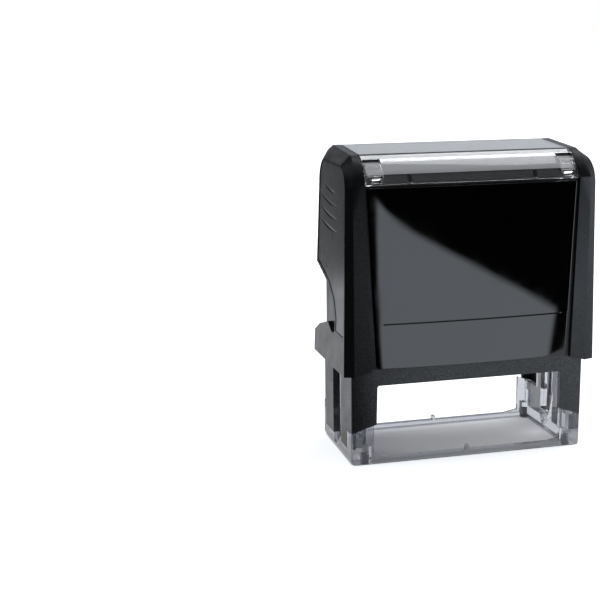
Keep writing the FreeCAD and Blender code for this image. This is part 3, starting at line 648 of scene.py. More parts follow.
@dataclass(frozen=True)
class ClearPlastic(Finish):
    """Clear polycarbonate with flow lines from moulding and fine wear."""

    colour: Colour = (0.70, 0.71, 0.745)
    roughness: float = 0.05
    flow_depth: float = 0.01 * MM
    clarity: float = 0.93
    wear: float = 0.06
    refraction: float = 1.58

    def surface(self, coat: Coat) -> Socket:
        """Let light from lamps and off pieces inside through unbent, so that what is behind it is lit.

        Args:
            coat: The material in the making.

        Returns:
            The mixed shader output.
        """
        sheet = coat.sheet
        path = sheet.add("ShaderNodeLightPath")
        passing = sheet.maths("MAXIMUM", path.outputs["Is Shadow Ray"], path.outputs["Is Diffuse Ray"])
        straight = sheet.add("ShaderNodeBsdfTransparent", Color=(*self.colour, 1.0))
        mix = sheet.add("ShaderNodeMixShader")
        for slot, source in zip(mix.inputs, (passing, coat.shader.outputs["BSDF"], straight.outputs["BSDF"])):
            sheet.link(source, slot)
        return mix.outputs["Shader"]

    def paint(self, coat: Coat) -> None:
        """Transmission with a varied roughness and a weak flow pattern in the normal.

        Args:
            coat: The material in the making.
        """
        touch = coat.group(coat.effects.handling, Scratches=0.6, Smear_Size=7 * MM)
        flow = coat.noise(Scale=120.0, Detail=2.0, Distortion=0.8)
        worn = coat.sheet.spread(touch.outputs["Smear"], 0.0, 1.0, self.roughness, self.roughness + self.wear)
        coat.give(
            Roughness=coat.sheet.maths("MULTIPLY_ADD", touch.outputs["Scratch"], 2 * self.wear, worn),
            Base_Color=coat.sheet.tint(flow, self.colour, shade(self.colour, 0.94)),
            Transmission_Weight=self.clarity,
            IOR=self.refraction)
        coat.bump(flow, self.flow_depth)


@dataclass(frozen=True)
class Rubber(Finish):
    """Matt rubber with a powdery bloom."""

    colour: Colour = (0.012, 0.012, 0.012)
    roughness: float = 0.75

    def paint(self, coat: Coat) -> None:
        """Coarse grain, with a paler bloom in the mottling.

        Args:
            coat: The material in the making.
        """
        grain = coat.group(coat.effects.grain, Size=0.35 * MM, Coarseness=0.7)
        pale = coat.sheet.spread(grain.outputs["Mottle"], 0.35, 0.75, 0.0, 1.0)
        coat.give(
            Base_Color=coat.sheet.tint(pale, self.colour, shade(self.colour, 1.5, 0.01)),
            Roughness=coat.vary(grain.outputs["Mottle"], self.roughness - 0.08, self.roughness + 0.08))
        coat.bump(grain.outputs["Height"], 0.03 * MM)


@dataclass(frozen=True)
class SpringWire(Finish):
    """Drawn spring wire with fine streaks along the coil."""

    colour: Colour = (0.62, 0.62, 0.64)
    roughness: float = 0.24

    def paint(self, coat: Coat) -> None:
        """Metal whose roughness and tone vary in short streaks.

        Args:
            coat: The material in the making.
        """
        streak = coat.noise(Scale=1500.0, Detail=3.0)
        coat.give(
            Base_Color=coat.sheet.tint(streak, self.colour, shade(self.colour, 0.7)),
            Metallic=1.0,
            Roughness=coat.vary(streak, self.roughness - 0.06, self.roughness + 0.12))
        coat.bump(streak, 0.004 * MM)


@dataclass(frozen=True)
class FibreSheet(Finish):
    """Felt, foam or card: a matt surface made of fibres or cells."""

    colour: Colour
    second: Colour
    fibre: float = 0.15 * MM
    depth: float = 0.01 * MM
    roughness: float = 0.9

    def paint(self, coat: Coat) -> None:
        """Two tone fibre noise in the colour, the grain group in the normal.

        Args:
            coat: The material in the making.
        """
        grain = coat.group(coat.effects.grain, Size=self.fibre, Coarseness=0.3)
        fibres = coat.sheet.spread(grain.outputs["Height"], 0.25, 0.75, 0.0, 1.0)
        coat.give(
            Base_Color=coat.sheet.tint(fibres, self.colour, self.second),
            Roughness=coat.vary(grain.outputs["Mottle"], self.roughness - 0.06, self.roughness + 0.06))
        coat.bump(grain.outputs["Height"], self.depth)


BLACK_CASE = MouldedPlastic("black case plastic", "black_plastic", specular=0.3)
FRAME_BLACK = MouldedPlastic(
    "black frame plastic", "black_plastic", colour=(0.006, 0.006, 0.0065), roughness=0.40,
    grain_size=0.5 * MM, grain_depth=0.08 * MM)
GRIP = MouldedPlastic(
    "grip plastic", "grip_plastic", colour=(0.036, 0.037, 0.039), roughness=0.34, grain_size=0.5 * MM,
    specular=0.55)
INNER_GREY = MouldedPlastic(
    "inner grey plastic", "grey_plastic", colour=(0.05, 0.052, 0.055), roughness=0.4, grain_depth=0.008 * MM)
TRAY_BLACK = MouldedPlastic("tray plastic", "tray_plastic", colour=(0.02, 0.02, 0.022), roughness=0.38)
GLOSS_BLACK = GlossPlastic("gloss black plastic", "gloss_black_plastic")
CLEAR = ClearPlastic("clear polycarbonate", "clear_plastic")
CLEAR_WINDOW = ClearPlastic(
    "clear window", "clear_plastic", colour=(0.95, 0.955, 0.96), roughness=0.02, flow_depth=0.0015 * MM,
    clarity=1.0, wear=0.02)
FOOT_RUBBER = Rubber("foot rubber", "foot_rubber")
DIE_RUBBER = Rubber("die rubber", "die_rubber", colour=(0.30, 0.06, 0.05), roughness=0.6)
SPRING_STEEL = SpringWire("spring steel", "spring_steel")
CARD = FibreSheet("index card", "card", colour=(0.43, 0.43, 0.44), second=(0.39, 0.39, 0.40))
FOAM = FibreSheet(
    "die foam", "foam", colour=(0.5, 0.5, 0.47), second=(0.36, 0.36, 0.34), fibre=0.4 * MM, depth=0.05 * MM)
FELT = FibreSheet(
    "ink felt", "felt", colour=(0.012, 0.012, 0.016), second=(0.03, 0.03, 0.036), fibre=0.5 * MM,
    depth=0.15 * MM)


class Wardrobe:
    """Gives each finish's material, built once when first asked for."""

    def __init__(self) -> None:
        """Start with no materials."""
        self.effects = Effects()
        self.made: dict[str, bpy.types.Material] = {}

    def settle(self, piece: Piece, finish: Finish, body: Body, node: str) -> None:
        """Dress a new piece, let it ride, and hide the CAD node it stands for.

        Args:
            piece: New piece.
            finish: Its finish.
            body: Body that carries it.
            node: CAD node that it replaces.
        """
        if finish.name not in self.made:
            self.made[finish.name] = finish.material(self.effects)
        piece.data.materials.append(self.made[finish.name])
        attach(piece, body.value)
        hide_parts(node)
        LOG.info("%s: %d faces on %s", piece.name, len(piece.data.polygons), body.value)


# ---------------------------------------------------------------- sub-assemblies


def dense_at(*stops: Pair) -> Array:
    """Increasing parameter values with a given spacing up to each stop.

    Args:
        stops: The first is (start, 0), the rest (end of stretch, spacing in it).

    Returns:
        The values.
    """
    values = [np.array([stops[0][0]])]
    for (start, _), (end, spacing) in zip(stops[:-1], stops[1:]):
        count = max(1, round((end - start) / spacing))
        values.append(np.linspace(start, end, count + 1)[1:])
    return np.concatenate(values)


@dataclass
class CapCrown:
    """The crowned front of the cap: its depth at any point.

    The front is ruled between two arcs. At height z the arc's middle and its
    ends at the corners lie on straight lines, so depth = corner + (middle -
    corner) (1 - (x / half)^2), which is a shallow arc to within 0.01 mm.
    """

    low: float = 30.0 * MM
    high: float = 93.0 * MM
    middle_low: float = 22.9 * MM
    middle_high: float = 20.0 * MM
    corner_low: float = 20.6 * MM
    corner_high: float = 19.6 * MM
    half: float = 40.8 * MM

    def depth(self, x: Array, z: Array) -> Array:
        """Distance of the crowned face from the middle plane.

        Args:
            x: Places along X.
            z: Heights.

        Returns:
            The distances.
        """
        share = (z - self.low) / (self.high - self.low)
        middle = self.middle_low + (self.middle_high - self.middle_low) * share
        corner = self.corner_low + (self.corner_high - self.corner_low) * share
        return corner + (middle - corner) * (1 - (x / self.half) ** 2)


@dataclass
class FrontPanel:
    """Gloss panel of the cap, with a step and a groove across its lower third."""

    crown: CapCrown = field(default_factory=CapCrown)
    bottom: float = 33.0 * MM
    top: float = 92.0 * MM
    half_bottom: float = 33.2 * MM
    half_top: float = 36.0 * MM
    radius_bottom: float = 1.2 * MM
    radius_top: float = 0.9 * MM
    thickness: float = 0.95 * MM
    edge: float = 0.4 * MM
    step_height: float = 48.3 * MM
    step: float = 0.35 * MM
    step_run: float = 0.12 * MM
    groove_half: float = 31.0 * MM
    groove_end: float = 0.5 * MM
    groove_drop: float = 0.32 * MM
    groove_depth: float = 0.3 * MM
    groove_reach: float = 0.26 * MM

    def outline_half(self, z: Array) -> Array:
        """Half width: a straight taper, less a round corner at each end.

        Within a corner's radius r of an end, at distance d from it, the half
        width is less by r - sqrt(r^2 - (r - d)^2).

        Args:
            z: Heights.

        Returns:
            The half widths.
        """
        share = (z - self.bottom) / (self.top - self.bottom)
        half = self.half_bottom + (self.half_top - self.half_bottom) * share
        for distance, radius in ((z - self.bottom, self.radius_bottom), (self.top - z, self.radius_top)):
            inside = np.clip(radius - distance, 0, radius)
            half = half - (radius - np.sqrt(radius**2 - inside**2))
        return half

    def relief(self, x: Array, z: Array) -> Array:
        """How far the face lies behind the crown: the lower field and the groove under the step.

        The step runs straight down; the groove is a parabola across its height.

        Args:
            x: Places along X.
            z: Heights.

        Returns:
            The distances.
        """
        below = np.clip((self.step_height - z) / self.step_run, 0, 1)
        within = np.clip((self.groove_half - np.abs(x)) / self.groove_end, 0, 1)
        centre = self.step_height - self.groove_drop
        groove = self.groove_depth * np.clip(1 - ((z - centre) / self.groove_reach) ** 2, 0, 1)
        return self.step * below + groove * within

    def build(self) -> Piece:
        """Make the panel as a plate on a grid of half widths and heights.

        Returns:
            The piece.
        """
        low, high = self.bottom, self.top
        step = self.step_height
        rows = dense_at(
            (low, 0), (low + 0.6 * MM, 0.06 * MM), (low + 2.4 * MM, 0.15 * MM), (step - 1.2 * MM, 1.0 * MM),
            (step + 0.3 * MM, 0.06 * MM), (high - 1.0 * MM, 1.2 * MM), (high, 0.05 * MM))
        across = dense_at(
            (-1.0, 0), (-0.985, 0.0015), (-0.84, 0.006), (0.84, 0.03), (0.985, 0.006), (1.0, 0.0015))
        z, u = np.meshgrid(rows, across, indexing="ij")
        half = self.outline_half(z)
        x = u * half
        side = np.minimum(half - np.abs(x), np.minimum(z - low, high - z))
        rolled = np.clip(self.edge - side, 0, self.edge)
        roll = self.edge - np.sqrt(self.edge**2 - rolled**2)
        depth = self.crown.depth(x, z)
        front = np.stack([x, -(depth - self.relief(x, z) - roll), z], -1)
        back = np.stack([x, -(depth - self.thickness), z], -1)
        keep = np.ones((len(rows) - 1, len(across) - 1), bool)
        vertices, faces = plate_between(front, back, keep)
        piece = new_piece("gloss_front_panel", vertices, faces[:, ::-1])
        smooth_by_angle(piece, 50)
        return piece


@dataclass(frozen=True)
class Shoulder:
    """Round shoulder of the cap: a circle through its lower edge, middle and crest, as (y, z)."""

    edge: Pair
    middle: Pair
    crest: Pair

    def circle(self) -> tuple[Array, float]:
        """Solve the circle from the two lines halfway between the three points.

        Returns:
            Centre and radius.
        """
        first, second, third = (np.array(p) for p in (self.edge, self.middle, self.crest))
        rows = 2 * np.array([second - first, third - first])
        right = np.array([second @ second - first @ first, third @ third - first @ first])
        centre = np.linalg.solve(rows, right)
        return centre, float(np.linalg.norm(first - centre))

    def arc(self, inset: float, above: float, steps: int) -> Array:
        """Points of the concentric arc from its lower edge up to the crest.

        Each point is centre + (radius - inset) (cos a, sin a), with the angle a
        spread evenly from the lower edge to the crest.

        Args:
            inset: Distance inside the outer profile.
            above: Height below which the arc is left out.
            steps: Number of points.

        Returns:
            The points (y, z).
        """
        centre, radius = self.circle()
        turn = [np.arctan2(*(np.array(p) - centre)[::-1]) for p in (self.edge, self.crest)]
        first, last = ((a + np.pi / 2) % (2 * np.pi) - np.pi / 2 for a in turn)
        rise = math.asin(max(-1.0, min(1.0, (above - centre[1]) / (radius - inset))))
        first = min(first, math.pi - rise) if self.edge[0] < 0 else max(first, rise)
        angle = np.linspace(first, last, steps)
        return centre + (radius - inset) * np.stack([np.cos(angle), np.sin(angle)], -1)


@dataclass(frozen=True)
class TopProfile:
    """Side profile over the front shoulder, the roof that rises to the back, and the back shoulder."""

    front: Shoulder = Shoulder((-19.6 * MM, 93.0 * MM), (-15.9 * MM, 98.8 * MM), (-11.0 * MM, 102.0 * MM))
    back: Shoulder = Shoulder((19.6 * MM, 93.0 * MM), (16.2 * MM, 99.4 * MM), (9.6 * MM, 103.8 * MM))

    def curve(self, inset: float, above: float, steps: int, roof_steps: int) -> Array:
        """Points (y, z) from the front edge over the roof to the back edge.

        Args:
            inset: Distance inside the outer profile.
            above: Height below which the shoulders are left out.
            steps: Points along each shoulder.
            roof_steps: Stretches of the straight roof.

        Returns:
            The points.
        """
        rising = self.front.arc(inset, above, steps)
        falling = self.back.arc(inset, above, steps)[::-1]
        share = np.linspace(0, 1, roof_steps + 1)[1:-1, None]
        roof = rising[-1] + (falling[0] - rising[-1]) * share
        return np.concatenate([rising, roof, falling])

    def skin(self, columns: Array, line: Array) -> Array:
        """Carry a profile along X.

        Args:
            columns: Places along X.
            line: Profile (y, z).

        Returns:
            Grid of points, columns by profile by 3.
        """
        shape = (len(columns), len(line))
        y, z = (np.broadcast_to(part, shape) for part in line.T)
        return np.stack([np.broadcast_to(columns[:, None], shape), y, z], -1)


@dataclass
class IndexWindow:
    """Clear window over the card, with a latch tab and a hook ring at each corner."""

    profile: TopProfile = field(default_factory=TopProfile)
    half: float = 36.35 * MM
    thickness: float = 1.3 * MM
    arc_points: int = 84
    roof_steps: int = 22
    middle_columns: int = 21
    fine_from: float = 29.4 * MM
    fine_step: float = 0.15 * MM
    latch: Pair = (30.6 * MM, 36.0 * MM)
    slot: Pair = (99.6 * MM, 100.6 * MM)
    ring: Pair = (31.5 * MM, 34.2 * MM)
    ring_height: Pair = (93.7 * MM, 94.7 * MM)
    rim: float = 0.45 * MM
    rim_rise: float = 0.32 * MM
    tab_bottom: float = 95.3 * MM
    tab_gap: float = 0.25 * MM
    tab_edge: float = 0.3 * MM
    ridge_count: int = 3
    ridge_depth: float = 0.32 * MM
    edge_groove: float = 0.3 * MM
    groove_reach: float = 0.35 * MM
    groove_foot: float = 0.4 * MM
    rib_place: float = 21.5 * MM
    rib_half: float = 0.5 * MM
    rib_slope: Pair = (0.35 * MM, 0.6 * MM)
    rib_depth: float = 0.5 * MM
    rib_top: float = 95.4 * MM
    crest_height: float = 101.5 * MM

    def columns(self) -> Array:
        """Places along X: close together at the latches, and on both slopes of each rib.

        Returns:
            The places, from left to right.
        """
        fine = dense_at((self.fine_from, 0), (self.half, self.fine_step))
        middle = np.linspace(-self.fine_from, self.fine_from, self.middle_columns + 2)[1:-1]
        slopes = [self.rib_place + side * reach for side in (-1, 1) for reach in self.rib_slope]
        ribs = [side * place for side in (-1, 1) for place in slopes]
        return np.sort(np.concatenate([-fine, middle, ribs, fine]))

    def build(self) -> Piece:
        """Make the window as a plate along the profile, with openings at the latches.

        Returns:
            The piece.
        """
        outer, inner = (
            self.profile.curve(inset, 0, self.arc_points, self.roof_steps) for inset in (0, self.thickness))
        columns = self.columns()
        front, back = (self.profile.skin(columns, line) for line in (outer, inner))
        height = (outer[1:, 1] + outer[:-1, 1])[None, :] / 2
        x = np.abs(columns[1:] + columns[:-1])[:, None] / 2
        keep = np.ones((len(columns) - 1, len(outer) - 1), bool)
        for (low, high), (near, far) in ((self.slot, self.latch), (self.ring_height, self.ring)):
            keep &= ~((height > low) & (height < high) & (x > near) & (x < far))
        front[..., 1:] += self.relief(front)
        near_rib = np.abs(np.abs(columns) - self.rib_place) < self.rib_half
        in_strip = (inner[:, 1] < self.rib_top) & (inner[:, 0] < 0)
        back[..., 1] += np.where(near_rib[:, None] & in_strip[None, :], self.rib_depth, 0)
        piece = new_piece("index_window_clear", *plate_between(front, back, keep))
        smooth_by_angle(piece, 40)
        round_edges(piece, 0.1 * MM, 50)
        return piece

    def relief(self, points: Array) -> Array:
        """Shape of the latches on the outer skin.

        Finger ridges on the tab are a cosine across its height. The groove
        along its inner side and the rim round the ring are smooth bumps
        (1 - d^2)^2, where d is the distance from their line over their width.

        Args:
            points: Outer points of the window.

        Returns:
            Shift of each point in (y, z).
        """
        x, y, z = np.abs(points[..., 0]), points[..., 1], points[..., 2]
        low, high = self.tab_bottom, self.slot[0] - self.tab_gap
        share = np.clip((z - low) / (high - low), 0, 1)
        across = np.clip((x - self.latch[0] - self.tab_edge) / self.tab_edge, 0, 1)
        across = across * np.clip((self.latch[1] - x) / self.tab_edge, 0, 1)
        ridges = self.ridge_depth * (0.5 - 0.5 * np.cos(2 * np.pi * self.ridge_count * share)) * across
        near = np.clip(np.abs(x - self.latch[0]) / self.groove_reach, 0, 1)
        beside_tab = (z > low - self.groove_foot) & (z < self.slot[1])
        groove = self.edge_groove * (1 - near**2) ** 2 * beside_tab
        off_x = np.maximum(self.ring[0] - x, x - self.ring[1])
        off_z = np.maximum(self.ring_height[0] - z, z - self.ring_height[1])
        away = np.clip((np.maximum(off_x, off_z) - self.rim / 2) / (self.rim / 2), -1, 1)
        amount = self.rim_rise * (1 - away**2) ** 2 - ridges - groove
        outward = np.zeros(points.shape[:-1] + (2,))
        for shoulder, on_side in ((self.profile.front, y < 0), (self.profile.back, y > 0)):
            radial = points[..., 1:] - shoulder.circle()[0]
            radial /= np.maximum(np.linalg.norm(radial, axis=-1, keepdims=True), 1e-9)
            outward = np.where((on_side & (z < self.crest_height))[..., None], radial, outward)
        return outward * amount[..., None]


@dataclass
class IndexCard:
    """Card strip under the window, scored through along its front fold."""

    profile: TopProfile = field(default_factory=TopProfile)
    half: float = 35.8 * MM
    inset: float = 1.35 * MM
    thickness: float = 0.4 * MM
    lower_edge: float = 95.7 * MM
    arc_points: int = 60
    roof_steps: int = 30
    middle_columns: int = 41
    fold_bridge: float = 1.2 * MM
    fold_width: float = 1.3 * MM

    def build(self) -> Piece:
        """Make the card as a thin plate along the profile, open along the fold.

        Returns:
            The piece.
        """
        cut = self.half - self.fold_bridge
        columns = np.concatenate([[-self.half], np.linspace(-cut, cut, self.middle_columns), [self.half]])
        outer, inner = (
            self.profile.curve(inset, self.lower_edge, self.arc_points, self.roof_steps)
            for inset in (self.inset, self.inset + self.thickness))
        crest = outer[self.arc_points - 1]
        at_fold = np.linalg.norm((outer[1:] + outer[:-1]) / 2 - crest, axis=1) < self.fold_width / 2
        within = np.abs(columns[1:] + columns[:-1]) / 2 < cut
        front, back = (self.profile.skin(columns, line) for line in (outer, inner))
        keep = ~(within[:, None] & at_fold[None, :])
        piece = new_piece("index_card_strip", *plate_between(front, back, keep))
        smooth_by_angle(piece, 40)
        return piece


@dataclass
class ReturnSprings:
    """The two coil springs, built at the length of their CAD nodes. The real ones shorten as the cap comes
    down.
    """

    radius: float = 3.4 * MM
    wire: float = 0.45 * MM
    turns: int = 7
    closed: int = 1
    turn_gap: float = 0.1 * MM
    points_per_turn: int = 40
    sides: int = 12
    stroke: float = 28.0 * MM

    def path(self, low: float, high: float, x: float) -> Array:
        """Centre line of a coil with a closed turn at each end.

        The height rises by one wire thickness and a small gap over each closed
        turn and evenly over the rest; the angle grows by a full turn per turn.

        Args:
            low: Height of the lower end.
            high: Height of the upper end.
            x: Place of the spring's axis.

        Returns:
            The points.
        """
        total = self.turns + 2 * self.closed
        turn = np.linspace(0, total, total * self.points_per_turn + 1)
        rise = (2 * self.wire + self.turn_gap) * self.closed
        bottom, top = low + self.wire, high - self.wire
        knots = [0, self.closed, total - self.closed, total]
        z = np.interp(turn, knots, [bottom, bottom + rise, top - rise, top])
        angle = 2 * np.pi * turn
        return np.stack([x + self.radius * np.cos(angle), self.radius * np.sin(angle), z], -1)

    def build(self, wardrobe: Wardrobe) -> None:
        """Make both springs in place of their CAD nodes.

        Args:
            wardrobe: Finishes.
        """
        for side in ("left", "right"):
            node = f"{side}_spring"
            low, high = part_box(node)
            path = self.path(low.z, high.z, (low.x + high.x) / 2)
            coil = tube(f"{side}_coil", path, self.wire, self.sides)
            smooth_by_angle(coil, 60)
            wardrobe.settle(coil, SPRING_STEEL, Body.BASE, node)
            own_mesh(coil)


@dataclass
class SoftEdges:
    """CAD nodes that keep their shape and get rounded edges.

    A row is a node, its piece's name, finish and body, and the rounding's width.
    """

    play: float = 0.002
    rows: tuple[tuple[str, str, Finish, Body, float], ...] = (
        ("cap_shell", "cap_casing", BLACK_CASE, Body.CAP, 0.25 * MM),
        ("lower_frame", "black_frame", FRAME_BLACK, Body.BASE, 0.2 * MM),
        ("clear_base", "clear_skirt", CLEAR, Body.BASE, 0.18 * MM),
        ("left_grip_panel", "left_grip", GRIP, Body.CAP, 0.15 * MM),
        ("right_grip_panel", "right_grip", GRIP, Body.CAP, 0.15 * MM),
        ("actuator_bow", "press_bow", INNER_GREY, Body.CAP, 0.2 * MM),
        ("cartridge_tray", "ink_tray", TRAY_BLACK, Body.CARTRIDGE, 0.25 * MM),
        ("die_holder", "plate_holder", INNER_GREY, Body.DIE, 0.15 * MM),
        ("die_cushion", "plate_foam", FOAM, Body.DIE, 0.15 * MM),
        ("rubber_die", "rubber_plate", DIE_RUBBER, Body.DIE, 0.12 * MM),
        ("ink_pad", "felt_pad", FELT, Body.CARTRIDGE, 0.4 * MM),
        *((f"{end}_{side}_foot", f"foot_{end}_{side}", FOOT_RUBBER, Body.BASE, 0.2 * MM)
          for end in ("front", "back") for side in ("left", "right")),
    )

    def build(self, wardrobe: Wardrobe) -> None:
        """Make each softened piece in place of its node; the die's pieces get their play.

        Args:
            wardrobe: Finishes.
        """
        for node, name, finish, body, width in self.rows:
            piece = softened_copy(node, name, width)
            if body is Body.DIE:
                draw_in_ends(piece, self.play)
            wardrobe.settle(piece, finish, body, node)


# ---------------------------------------------------------------- studio


@dataclass(frozen=True)
class Lamp:
    """Rectangular soft lamp, with its power in watts. Gloss shows it where it is mirrored."""

    name: str
    place: Point
    aim: Point
    size: Pair
    power: float
    mirrored: bool = True

    def build(self, colour: Colour) -> None:
        """Hang the lamp in its place, so that it faces its aim.

        Args:
            colour: Colour of its light.
        """
        data = bpy.data.lights.new(self.name, "AREA")
        data.shape = "RECTANGLE"
        data.size, data.size_y = self.size
        data.energy = self.power
        data.color = colour
        lamp = new_object(self.name, data)
        lamp.location = self.place
        lamp.visible_glossy = self.mirrored
        lamp.rotation_euler = (Vector(self.aim) - Vector(self.place)).to_track_quat("-Z", "Y").to_euler()


def upright(start: Pair, end: Pair, low: float, high: float) -> tuple[Point, ...]:
    """Corners of an upright rectangle over the line between two places (x, y)."""
    return ((*start, low), (*end, low), (*end, high), (*start, high))


@dataclass(frozen=True)
class ReflectionCard:
    """Flat card that only gloss meets. Its level of light is even or varies, and 0 makes a black flag."""

    name: str
    corners: tuple[Point, ...]
    level: float | Callable[[NodeSheet], Socket] = 0.0

    def build(self, colour: Colour) -> None:
        """Stand the card in the studio.

        Args:
            colour: Colour of its light.
        """
        card = new_piece(self.name, np.array(self.corners), [range(len(self.corners))])
        material, sheet = new_material(self.name)
        glow = sheet.add("ShaderNodeEmission", Color=(*colour, 1.0))
        sheet.feed(glow.inputs["Strength"], self.level(sheet) if callable(self.level) else self.level)
        sheet.show(glow.outputs["Emission"])
        card.data.materials.append(material)
        for ray in ("camera", "diffuse", "shadow", "volume_scatter", "transmission"):
            setattr(card, f"visible_{ray}", False)


@dataclass(frozen=True)
class FrontSweep:
    """Light on the card in front: lit below a curved edge, black above it. Its sizes are in millimetres.

    The edge is at height + slope x + bend x^2 + flare e^(-(x - flare_start) / flare_length)
    and is soft. The lit part begins at left + lean z + lean_growth z^2 and ends
    at right. Past it lies a brighter outer part, which fades out by outer_height.
    """

    strength: float = 2.4
    height: float = 74.5
    slope: float = -0.33
    bend: float = -0.0008
    flare: float = 7.0
    flare_start: float = 3.0
    flare_length: float = 7.0
    softness: float = 3.8
    left: Pair = (-13.3, -11.3)
    lean: float = 0.13
    lean_growth: float = 0.001
    right: Pair = (117.0, 121.0)
    outer: Pair = (132.0, 141.0)
    outer_height: Pair = (70.0, 120.0)
    outer_share: float = 1.7

    def level(self, sheet: NodeSheet) -> Socket:
        """Wire the brightness of the card.

        Args:
            sheet: The card's sheet.

        Returns:
            The brightness.
        """
        across, _, up = sheet.axes()
        x = sheet.maths("MULTIPLY", across, 1 / MM)
        z = sheet.maths("MULTIPLY", up, 1 / MM)
        power = sheet.maths("MULTIPLY_ADD", x, -1 / self.flare_length, self.flare_start / self.flare_length)
        curve = sheet.maths("MULTIPLY", sheet.maths("MULTIPLY", x, x), self.bend)
        line = sheet.maths("MULTIPLY_ADD", x, self.slope, curve)
        flared = sheet.maths("MULTIPLY_ADD", sheet.maths("EXPONENT", power), self.flare, line)
        edge = sheet.maths("ADD", flared, self.height)
        below = sheet.spread(sheet.maths("SUBTRACT", edge, z), 0.0, self.softness, 0.0, 1.0)
        lean = sheet.maths("MULTIPLY", z, sheet.maths("MULTIPLY_ADD", z, self.lean_growth, self.lean))
        left = sheet.spread(sheet.maths("SUBTRACT", x, lean), *self.left, 0.0, 1.0)
        right = sheet.spread(x, *self.right, 1.0, 0.0)
        lit = sheet.maths("MULTIPLY", below, sheet.maths("MULTIPLY", right, left))
        outer = sheet.spread(x, *self.outer, 0.0, self.outer_share)
        low = sheet.spread(z, *self.outer_height, 1.0, 0.0)
        both = sheet.maths("ADD", lit, sheet.maths("MULTIPLY", outer, low))
        return sheet.maths("MULTIPLY", both, self.strength)


LAMPS = (
    Lamp("overhead strip", place=(0.36, 0.22, 0.9), aim=(0.05, 0.22, 0.05), size=(0.11, 0.6), power=1.2),
    Lamp("overhead softbox", place=(0.42, 0.2, 0.92), aim=(0.05, 0.0, 0.05), size=(0.8, 0.45), power=3.9,
         mirrored=False),
    Lamp("left side", place=(-0.9, 0.1, 0.5), aim=(0, 0, 0.05), size=(0.6, 0.6), power=2.0),
)
CARDS = (
    ReflectionCard("front sweep", upright((-0.02, -0.16), (0.2, -0.16), 0.0005, 0.16), FrontSweep().level),
    ReflectionCard("left front flag", upright((-0.7, -0.16), (-0.02, -0.16), 0.0005, 0.45)),
    ReflectionCard("upper front flag", upright((-0.02, -0.16), (0.4, -0.16), 0.16, 0.45)),
    ReflectionCard("low front flag", (
        (-0.7, -0.159, 0.001), (-0.02, -0.159, 0.001), (-0.004, -0.128, 0.001), (-0.030, -0.026, 0.001),
        (-0.7, -0.026, 0.001))),
    ReflectionCard("left back flag", upright((-0.7, 0.15), (-0.068, 0.15), 0.03, 0.45)),
    ReflectionCard("back card", upright((-0.1, 0.6), (0.9, 0.6), 0.12, 0.6), 0.6),
    ReflectionCard("right card", upright((0.32, -0.45), (0.32, -0.02), 0.001, 0.3), 1.7),
)


